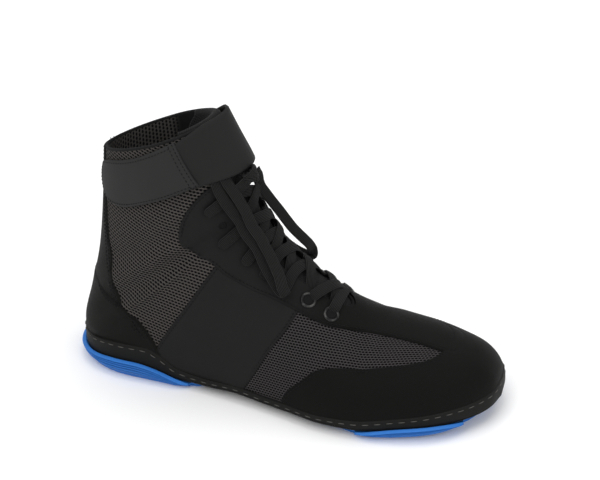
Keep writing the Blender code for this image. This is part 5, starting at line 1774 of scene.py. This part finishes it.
class Strap:
    """Ankle strap across the front and the closing tab on the lateral side."""

    def __init__(self, last: Last, sizes: StrapSizes, finishes: Finishes) -> None:
        """Keeps the form, the sizes and the finishes."""
        self.last, self.sizes, self.finishes = last, sizes, finishes

    def _shaped(self, s: Array, place: Array, column: Array, gap: Array,
                lift: Array, slant: Array) -> Array:
        """Point of a band: its end slants, its upper edge hugs the leg and rises at the front.

        Args:
            s: section numbers.
            place: signed places.
            column: 0 at the band's lower edge to 1 at its upper one.
            gap: room under the band.
            lift: height over that.
            slant: how far the place moves from the lower edge to the upper one.
        Returns:
            The points.
        """
        place = place - slant * (column - 0.5)
        points = self.last.placed(s, place, gap * (1 - self.sizes.top_hug * column ** 1.5) + lift)
        front = smooth_step(-abs(place + 0.05), -0.34, -0.12)
        points[..., 2] += self.sizes.top_rise * column ** 2 * front
        return points

    def _band(self, table: Table, stations: int, extra: float = 0.0,
              slant: float = 0.0) -> tuple[Surface, Callable]:
        """Closed band through the stations, its edges rounded over half its thickness.

        Args:
            table: (signed place, lower row, upper row, gap) stations.
            stations: number of points along.
            extra: thickness added to the strap's.
            slant: slant of the band's last end.
        Returns:
            The band, and a function that gives points and normals on its outer face.
        """
        columns, steps = self.sizes.columns, np.arange(stations)
        where = np.linspace(0, len(table) - 1, stations)
        place, low, high, gap = (smooth_through(where, values) for values in np.array(table).T)
        lean = slant * smooth_step(steps, 0.45 * stations, stations)
        half = (self.sizes.thickness + extra) / 2

        def at(column: Array, lift: Array) -> Array:
            """Grid of points at these columns and lifts."""
            s = low[:, None] + (high - low)[:, None] * column[None]
            full = [np.broadcast_to(v, s.shape).ravel() for v in
                    (s, place[:, None], column[None], gap[:, None], lift, lean[:, None])]
            return self._shaped(*full).reshape(*s.shape, 3)

        def on_top(station: Array, column: Array) -> tuple[Array, Array]:
            """Points and normals on the outer face."""
            p, below, above, tilt, here = (np.interp(station, steps, values)
                                           for values in (place, low, high, lean, gap))
            s = below * (1 - column) + column * above
            lift = 2 * half + self.sizes.swell * np.sin(np.pi * column)
            return self._shaped(s, p, column, here, lift, tilt), self.last.placed_normal(s, p)
        share = np.linspace(0, 1, columns)
        rim = rounded(np.minimum(steps, steps[::-1]) / 2.5, 0.05)[:, None]
        edge = rounded(np.minimum(share, 1 - share) * 34.0 / 0.8, 0.04)[None] * rim
        swell = self.sizes.swell * np.sin(np.pi * share)[None] * rim
        outer, inner = at(share, half + half * edge + swell), at(share, half - half * edge)
        length = arc_length(outer[:, columns // 2]) * MM
        uv = np.stack(np.broadcast_arrays(length[:, None], share[None] * 34), axis=-1).reshape(-1, 2)
        points = np.concatenate([outer.reshape(-1, 3), inner.reshape(-1, 3)])
        return oriented(Surface(points, shell_faces(stations, columns), np.concatenate([uv, uv]))), on_top

    def build(self) -> None:
        """Strap, tab and the tab's sewn rows."""
        strap, _ = self._band(self.sizes.strap, self.sizes.strap_stations)
        make_object("strap_band", strap, self.finishes.strap, ["ankle_strap"])
        tab, on_tab = self._band(self.sizes.tab, self.sizes.tab_stations, self.sizes.tab_thicker,
                                 self.sizes.tab_slant)
        make_object("tab_band", tab, self.finishes.tab, ["strap_tab"])
        thread, rows = Thread(pitch=0.0024, stitch=0.0017, radius=0.00034), []
        last_station = self.sizes.tab_stations - 1.0
        inset = 0.062
        around = np.concatenate([
            np.stack([np.linspace(last_station - 7, 5.0, 60), np.full(60, 1 - inset)]),
            np.stack([np.full(12, 5.0), np.linspace(1 - inset, inset, 12)]),
            np.stack([np.linspace(5.0, last_station - 7, 60), np.full(60, inset)])], axis=1)
        rows.append(thread.row(*on_tab(*around)))
        for station in (last_station - 2.2, last_station - 6.0):
            rows.append(thread.row(*on_tab(np.full(30, station), np.linspace(0.03, 0.97, 30))))
        make_object("strap_stitches", joined(rows), self.finishes.thread)


# Sole


@dataclass(frozen=True)
class SoleSizes:
    """Bottom unit, wrap and pods; lengths in metres."""

    layer_gap: float = 0.0007
    wrap_wall: float = 0.0016
    edge_round: float = 0.0055
    pod_gap: float = 0.0010
    pod_wall: float = 0.0018
    pod_side: float = 0.0095
    stations: int = 230
    groove_depth: float = 0.0011
    ribs: float = 6.0
    rib_height: float = 0.0013
    groove_width: float = 0.0011


FRONT_POD = {
    -1: ((1.000, 0.030, 0.00), (0.985, 0.022, 0.00), (0.960, 0.005, 0.00), (0.935, 0.00, 0.25),
         (0.895, 0.00, 0.42), (0.845, 0.00, 0.46), (0.800, 0.00, 0.42), (0.760, 0.00, 0.30), (0.728, 0.00, 0.12),
         (0.700, 0.018, 0.00), (0.660, 0.05, 0.00), (0.610, 0.08, 0.00), (0.560, 0.10, 0.00), (0.525, 0.13, 0.00),
         (0.505, 0.20, 0.00), (0.505, 0.30, 0.00), (0.530, 0.43, 0.00)),
    1: ((1.000, 0.030, 0.00), (0.985, 0.022, 0.00), (0.960, 0.005, 0.00), (0.935, 0.00, 0.25),
        (0.895, 0.00, 0.45), (0.845, 0.00, 0.55), (0.800, 0.00, 0.58), (0.755, 0.00, 0.58), (0.715, 0.00, 0.50),
        (0.680, 0.00, 0.35), (0.655, 0.00, 0.12), (0.640, 0.02, 0.00), (0.625, 0.05, 0.00), (0.612, 0.10, 0.00),
        (0.595, 0.17, 0.00), (0.575, 0.24, 0.00), (0.555, 0.31, 0.00))}
HEEL_POD = {
    side: ((0.330, 0.29, 0.00), (0.335, 0.20, 0.00), (0.333, 0.11, 0.00), (0.325, 0.04, 0.00),
           (0.310, 0.005, 0.00), (0.285, 0.00, 0.22), (0.250, 0.00, 0.52), (0.205, 0.00, 0.85),
           (0.160, 0.00, 1.00), (0.110, 0.00, 0.95), (0.060, 0.00, 0.72), (0.020, 0.00, 0.55),
           (0.0, 0.00, 0.50))
    for side in Side}
WALL_HEIGHTS = (0.0, 0.003, 0.006, 0.009, 0.012)
RIB_ROWS, RIB_SHARES = 46, (0.90, 0.30)
TREAD_COLUMNS = 90


@dataclass(frozen=True)
class TreadNet:
    """Centres and pitches of a tread's two families of arcs, in metres from the last's own origin."""

    corner: tuple[float, float]
    ahead: tuple[float, float]
    arc_pitch: float = 0.0225
    arc_start: float = 0.022
    cross_pitch: float = 0.0260
    cross_start: float = 0.040
    ring: float = 0.0016


FRONT_TREAD = TreadNet((0.160, -0.046), (0.330, 0.110))
HEEL_TREAD = TreadNet((0.020, -0.020), (0.160, 0.100))
WALL_STEPS = 500


class Sole:
    """Bottom unit, stitched wrap, and the two pods with ribbed walls and grooved treads."""

    def __init__(self, last: Last, sizes: SoleSizes, finishes: Finishes) -> None:
        """Keeps the form, the sizes and the finishes, and reads the feather line at each wall height."""
        self.last, self.sizes, self.finishes = last, sizes, finishes
        self.outside = sizes.layer_gap + sizes.wrap_wall
        self.walls = {side: np.stack([last.level_line(lambda x, h=h: 0 * x + h, 0.0, side, WALL_STEPS)
                                      for h in WALL_HEIGHTS]) for side in Side}

    @staticmethod
    def _both(make: Callable[[int], Array]) -> Array:
        """One closed ring: toe, lateral side, heel, medial side."""
        lateral, medial = make(-1), make(1)
        lateral[0], lateral[-1] = (lateral[0] + medial[0]) / 2, (lateral[-1] + medial[-1]) / 2
        return np.concatenate([lateral, medial[-2:0:-1]])

    def _profile(self, q: Array) -> tuple[Array, Array]:
        """Offset and height on the bottom unit's outside: a quarter round of edge_round, then level."""
        q = np.asarray(q, dtype=float)
        r = self.sizes.edge_round
        low = np.clip(q, 0.0, r)
        reach = np.sqrt(r ** 2 - (r - low) ** 2)
        return self.outside - r + reach + np.minimum(q, 0.0), np.maximum(q, 0.0)

    def _profile_normal(self, q: Array) -> tuple[Array, Array]:
        """Unit normal of that profile, as offset and height."""
        r = self.sizes.edge_round
        low = np.clip(np.asarray(q, dtype=float), 0.0, r)
        return np.sqrt(r ** 2 - (r - low) ** 2) / r, (low - r) / r

    def build_wrap(self) -> None:
        """Thin rand round the upper's foot, its top edge rolled, with a pale stitched row."""
        rings, count = [], 420
        profile = [(0.0, 0.0)] + [(share, 1.0 - 0.14 * share ** 2) for share in np.linspace(0.04, 0.90, 10)]
        profile += [(0.96, 0.83), (0.99, 0.68), (1.0, 0.40), (1.0, 0.0)]
        base = self.sizes.layer_gap * 0.3
        for share, out in profile:

            def make(side: int) -> Array:
                """The wrap's line at this share of its height."""
                return self.last.level_line(lambda x: self.last.wrap_height(x) * share,
                                            base + (self.outside - base) * out, side, count)
            rings.append(self._both(make))
        points = np.concatenate(rings) + ROW_SHIFT
        surface = Surface(points, grid_faces(len(rings), len(rings[0]), wrap=True, flip=True))
        make_object("wrap_band", surface, self.finishes.rubber, ["side_wrap"])

        def sewn(x: Array) -> Array:
            """Height of the sewn row, just under the wrap's top edge."""
            return np.maximum(self.last.wrap_height(x) - 0.0024, 0.0012)
        lift = self.outside + 0.00003
        ring = self._both(lambda side: self.last.level_line(sewn, lift, side, count)) + ROW_SHIFT
        ring = np.concatenate([ring, ring[:1]])
        along = unit(np.gradient(ring, axis=0))
        out = unit(np.stack([along[:, 1], -along[:, 0], np.full(len(ring), 0.25)], axis=1))
        out[:, :2] *= np.sign((out[:, :2] * (ring - ring.mean(axis=0))[:, :2]).sum(axis=1))[:, None]
        thread = Thread(pitch=0.0078, stitch=0.0044, radius=0.00034)
        make_object("wrap_stitches", thread.row(ring, out), self.finishes.light_thread)

    def build_unit(self) -> None:
        """Black bottom unit with a rounded edge."""
        count = 300
        base = self._both(lambda side: self.last.level_line(lambda x: 0 * x, 0.0, side, count))
        along = np.roll(base, -1, axis=0) - np.roll(base, 1, axis=0)
        normal = unit(np.stack([-along[:, 1], along[:, 0], np.zeros(len(base))], axis=1))

        def flat(offset: float, level: Callable, height: float) -> Array:
            """The outline, moved out by an offset, at a height over a level."""
            ring = base + normal * offset
            ring[:, 2] = level(base[:, 0] + normal[:, 0] * min(offset, 0.0)) + height
            return ring
        rings = [flat(self.outside - 0.0030, self.last.feather, -0.0003),
                 flat(self.outside - 0.0010, self.last.feather, -0.0003),
                 flat(self.outside - 0.0002, self.last.feather, -0.0006)]
        for share in (0.60, 0.45, 0.30, 0.18, 0.09, 0.03, 0.0):
            offset, height = self._profile(self.sizes.edge_round * share)
            rings.append(flat(float(offset), self.last.underside, float(height)))
        points = np.concatenate(rings) + ROW_SHIFT
        size = len(base)
        faces = grid_faces(len(rings), size, wrap=True)
        faces += turned_over(lid(size)) + lid(size, (len(rings) - 1) * size)
        surface = oriented(Surface(points, faces))
        make_object("sole_unit", surface, self.finishes.rubber, ["bottom_unit"])

    def _edge(self, table: Sequence, side: int) -> tuple[Array, Array, Array]:
        """One side of a pod's outline at equal steps.

        Args:
            table: (share of the length, inset as a share of the ball's width, share of the wall).
            side: side of the shoe.
        Returns:
            Share of the outline, edge place q and outward normal at each step. q is negative under
            the shoe and positive up its side.
        """
        line = self.walls[side][0]
        along = np.gradient(line, axis=0)
        normal = unit(np.stack([-along[:, 1], along[:, 0], np.zeros(WALL_STEPS)], axis=1)) * -side
        normal[0], normal[-1] = (1.0, 0.0, 0.0), (-1.0, 0.0, 0.0)
        steps = np.linspace(0, 1, WALL_STEPS)
        place = np.linspace(0, len(table) - 1, WALL_STEPS)
        share, inset, wall = (smooth_through(place, column) for column in zip(*table))
        run = np.interp(-np.clip(share, 0.0, 1.0) * self.last.sizes.length, -line[:, 0], steps)
        q = np.where(inset > 1e-3, -np.maximum(inset, 0) * self.last.sizes.ball_width,
                     np.maximum(wall, 0) * self.sizes.pod_side)
        out = self._profile(q)[0]
        where = read_at(run, steps, line[:, :2]) + read_at(run, steps, normal[:, :2]) * out[:, None]
        length = arc_length(where)
        wanted = np.linspace(0, length[-1], self.sizes.stations)
        run, q = np.interp(wanted, length, run), np.interp(wanted, length, q)
        soft = np.hanning(13) / np.hanning(13).sum()
        q = np.convolve(np.pad(q, 6, mode="edge"), soft, mode="valid")
        return run, q, read_at(run, steps, normal)

    def _beside(self, side: int, run: Array, turned: Array, offset: Array,
                height: Array) -> Array:
        """Points beside the outline.

        Args:
            side: side of the shoe.
            run: shares of the outline.
            turned: outward normals there.
            offset: distances outside the last.
            height: heights above the underside.
        Returns:
            The points, from the last's own origin.
        """
        steps = np.linspace(0, 1, WALL_STEPS)
        rise = self.last.sizes.feather_height - self.last.sizes.pod_thickness
        above = np.clip(height - rise, 0.0, WALL_HEIGHTS[-1])
        level = np.interp(above, WALL_HEIGHTS, np.arange(len(WALL_HEIGHTS)))
        low = np.minimum(level.astype(int), len(WALL_HEIGHTS) - 2)
        part = (level - low)[:, None]
        column = np.stack([read_at(run, steps, line) for line in self.walls[side]])
        pick = np.arange(len(run))
        spot = column[low, pick] * (1 - part) + column[low + 1, pick] * part
        spot[:, 2] = self.last.underside(spot[:, 0] + turned[:, 0] * np.minimum(offset, 0.0)) + height
        return spot + turned * offset[:, None]

    def _rib(self, share: float) -> float:
        """Ribs up the wall: 1 on a ridge, 0 in the groove between two, by the share of the wall's height."""
        return (0.5 - 0.5 * math.cos(2 * math.pi * share * self.sizes.ribs)) ** 0.7

    def _ribs(self, q: Array, share: float) -> Array:
        """Height of the ribs, in metres; they die out where the wall gets low."""
        return self.sizes.rib_height * smooth_step(q, 0.0008, 0.0025) * self._rib(share)

    def _pattern(self, x: Array, y: Array, heel: bool) -> Array:
        """Tread depth, 0 on the surface to 1 in a groove: arcs from one corner, cross arcs and rings.

        Arcs are circles round a centre by the outer rear corner; a groove lies where the distance to
        the nearest circle is under half its width. The crossing arcs circle a centre far in front.
        A ring lies in the middle of each mesh of that net, round by the net's own angle.

        Args:
            x: from the last's own origin.
            y: the same.
            heel: whether it is the heel pod.
        Returns:
            The depth at each point.
        """
        tread = HEEL_TREAD if heel else FRONT_TREAD
        corner, ahead = tread.corner, tread.ahead
        near = np.hypot(x - corner[0], y - corner[1])
        far = np.hypot(x - ahead[0], y - ahead[1])
        half = self.sizes.groove_width / 2

        def circles(distance: Array, pitch: float, start: float) -> Array:
            """Grooves at every pitch from the start on."""
            off = abs((distance - start + pitch / 2) % pitch - pitch / 2)
            return np.where(distance > start - half * 2, 1 - smooth_step(off, half * 0.6, half * 1.5), 0.0)
        sweep = circles(near, tread.arc_pitch, tread.arc_start)
        cross = circles(far, tread.cross_pitch, tread.cross_start) * (near > tread.arc_start + 0.001)
        a = (near - tread.arc_start) / tread.arc_pitch
        b = (far - tread.cross_start) / tread.cross_pitch
        ring = np.zeros_like(x)
        cosine = (x - corner[0]) * (x - ahead[0]) + (y - corner[1]) * (y - ahead[1])
        cosine = cosine / (np.maximum(near, 1e-6) * far)
        square = np.maximum(1 - cosine ** 2, 0.05)
        for shift in (0.28, 0.72):
            da = (a - np.floor(a) - 0.5) * tread.arc_pitch
            db = (b - np.floor(b) - shift) * tread.cross_pitch
            off = np.sqrt(np.maximum(da ** 2 + db ** 2 - 2 * cosine * da * db, 0.0) / square)
            shown = (square > 0.3) * (1 - smooth_step(abs(off - tread.ring), 0.0003, 0.0006))
            ring = np.maximum(ring, shown)
        ring = ring * (near > tread.arc_start + 0.002)
        return np.maximum(np.maximum(sweep, cross), ring * 0.8)

    def build_pod(self, name: str, node: str, table: dict, heel: bool) -> None:
        """A pod: inner skirt, ribbed outer wall with a rolled top, and the tread.

        Args:
            name: name of the piece.
            node: CAD node that it stands for.
            table: its outline, a table for each side.
            heel: whether it is the heel pod.
        """
        edges = {side: self._edge(table[side], side) for side in Side}
        gap, wall = self.sizes.pod_gap, self.sizes.pod_wall

        def ring(offset_of: Callable, height_of: Callable) -> Array:
            """A closed ring, by the offset and the height at each place."""
            def one(side: int) -> Array:
                """One side of it."""
                run, q, turned = edges[side]
                return self._beside(side, run, turned, offset_of(q, run), height_of(q, run))
            return self._both(one)

        def outside(share: float, lift: float) -> Array:
            """Ring at a share of the wall's height, lifted off the unit."""
            def place(q: Array) -> Array:
                """The place at that share of the wall; places under the shoe stay."""
                return np.where(q > 0, q * share, q)
            return ring(
                lambda q, run: self._profile(place(q))[0] + self._profile_normal(place(q))[0]
                * (gap + lift + self._ribs(q, share) * smooth_step(lift, 0.0, wall)),
                lambda q, run: self._profile(place(q))[1] + self._profile_normal(place(q))[1] * (gap + lift))

        def ground(offset: float, height: float) -> Array:
            """Ring round the foot of the pod, at a height over the ground."""
            made = ring(lambda q, run: self._profile(np.minimum(q, 0.0))[0]
                        + 0.0042 * np.clip(q / 0.004, 0.0, 1.0) + offset, lambda q, run: 0 * q)
            made[:, 2] = self.last.spring(made[:, 0]) + height
            return made
        top = outside(1.0, 0.0)
        lip = [outside(1.0, 0.0004), outside(0.985, wall * 0.55), outside(0.95, wall * 0.85)]
        low = ground(0.0004, 0.0013)
        shares = np.linspace(*RIB_SHARES, RIB_ROWS)
        upper_wall = [outside(share, wall * 0.95) for share in shares]
        blend_from = upper_wall[-1]
        skirt = [blend_from * (1 - k) + low * k for k in (0.25, 0.5, 0.75)]
        foot = [low, ground(0.00025, 0.0006), ground(-0.0002, 0.00015), ground(-0.0008, 0.0)]
        border = ground(-0.0026, 0.0)
        rings = [outside(0.6, 0.0), top] + lip + upper_wall + skirt + foot + [border]
        size = len(top)
        points = np.concatenate(rings)
        faces = grid_faces(len(rings), size, wrap=True)
        half = size // 2
        columns = TREAD_COLUMNS
        rows_l, rows_m = border[1:half], border[:half:-1]
        share = np.linspace(0, 1, columns)[None, :, None]
        tread = rows_l[:, None] * (1 - share) + rows_m[:, None] * share
        side_far = np.minimum(share[..., 0], 1 - share[..., 0]) * np.linalg.norm(
            rows_l - rows_m, axis=1)[:, None]
        fade = smooth_step(side_far, 0.0015, 0.0022)
        edge_groove = 1 - smooth_step(abs(side_far - 0.0030), 0.0003, 0.0008)
        depth = np.maximum(self._pattern(tread[..., 0], tread[..., 1], heel) * fade, edge_groove)
        tread[..., 2] = self.last.spring(tread[..., 0]) + depth * self.sizes.groove_depth
        tread[:, 0], tread[:, -1] = rows_l, rows_m
        start = len(points)
        points = np.concatenate([points, tread.reshape(-1, 3)])
        # Painted shade for the blue finish, by ring: none on the rim, 1 - rib in the grooves between ribs, 0.3 on
        # the skirt under the wall, none at the foot; the tread gets its groove depth
        painted_shade_by_ring = [0.0] * (2 + len(lip)) + [1 - self._rib(share) for share in shares]
        painted_shade_by_ring += [0.3] * len(skirt) + [0.0] * (len(foot) + 1)
        groove = np.concatenate([np.repeat(painted_shade_by_ring, size), depth.ravel()])
        faces += grid_faces(len(rows_l), columns, start=start, flip=True)
        last_ring = (len(rings) - 1) * size
        first_row = [start + j for j in range(columns)]
        end_row = [start + (len(rows_l) - 1) * columns + j for j in range(columns)]
        faces += [(last_ring, a, b) for a, b in zip(first_row, first_row[1:])]
        faces += [(last_ring + half, b, a) for a, b in zip(end_row, end_row[1:])]
        faces += turned_over(lid(size))
        surface = oriented(Surface(points + ROW_SHIFT, faces, marks={"groove": groove}).welded(2e-6))
        make_object(name, surface, self.finishes.blue, [node])

    def build(self) -> None:
        """All pieces of the sole."""
        self.build_wrap()
        self.build_unit()
        self.build_pod("forefoot_tread", "forefoot_pod", FRONT_POD, heel=False)
        self.build_pod("heel_tread", "heel_pod", HEEL_POD, heel=True)


def main() -> None:
    """Builds the shoe's looks round its CAD frame."""
    logging.basicConfig(level=logging.INFO, format="%(name)s: %(message)s")
    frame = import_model()
    last, finishes = Last(FootSizes()), Finishes()
    studio = Studio()
    studio.build_camera()
    lacing = Lacing(last, LaceSizes(), finishes)
    lacing.build_loops()
    lacing.build_knot()
    lacing.build_runs()
    lacing.build_eyelets()
    upper = Upper(last, UpperSizes(), finishes)
    upper.build_skin()
    upper.build_seams()
    upper.build_lining()
    upper.build_binding()
    upper.build_tongue()
    Strap(last, StrapSizes(), finishes).build()
    Sole(last, SoleSizes(), finishes).build()
    insole = frame["nodes"]["insole"]
    insole.data.materials.clear()
    insole.data.materials.append(finishes.insole)
    studio.build_floor(finishes.floor)
    studio.build_lights()


if __name__ == "__main__":
    main()
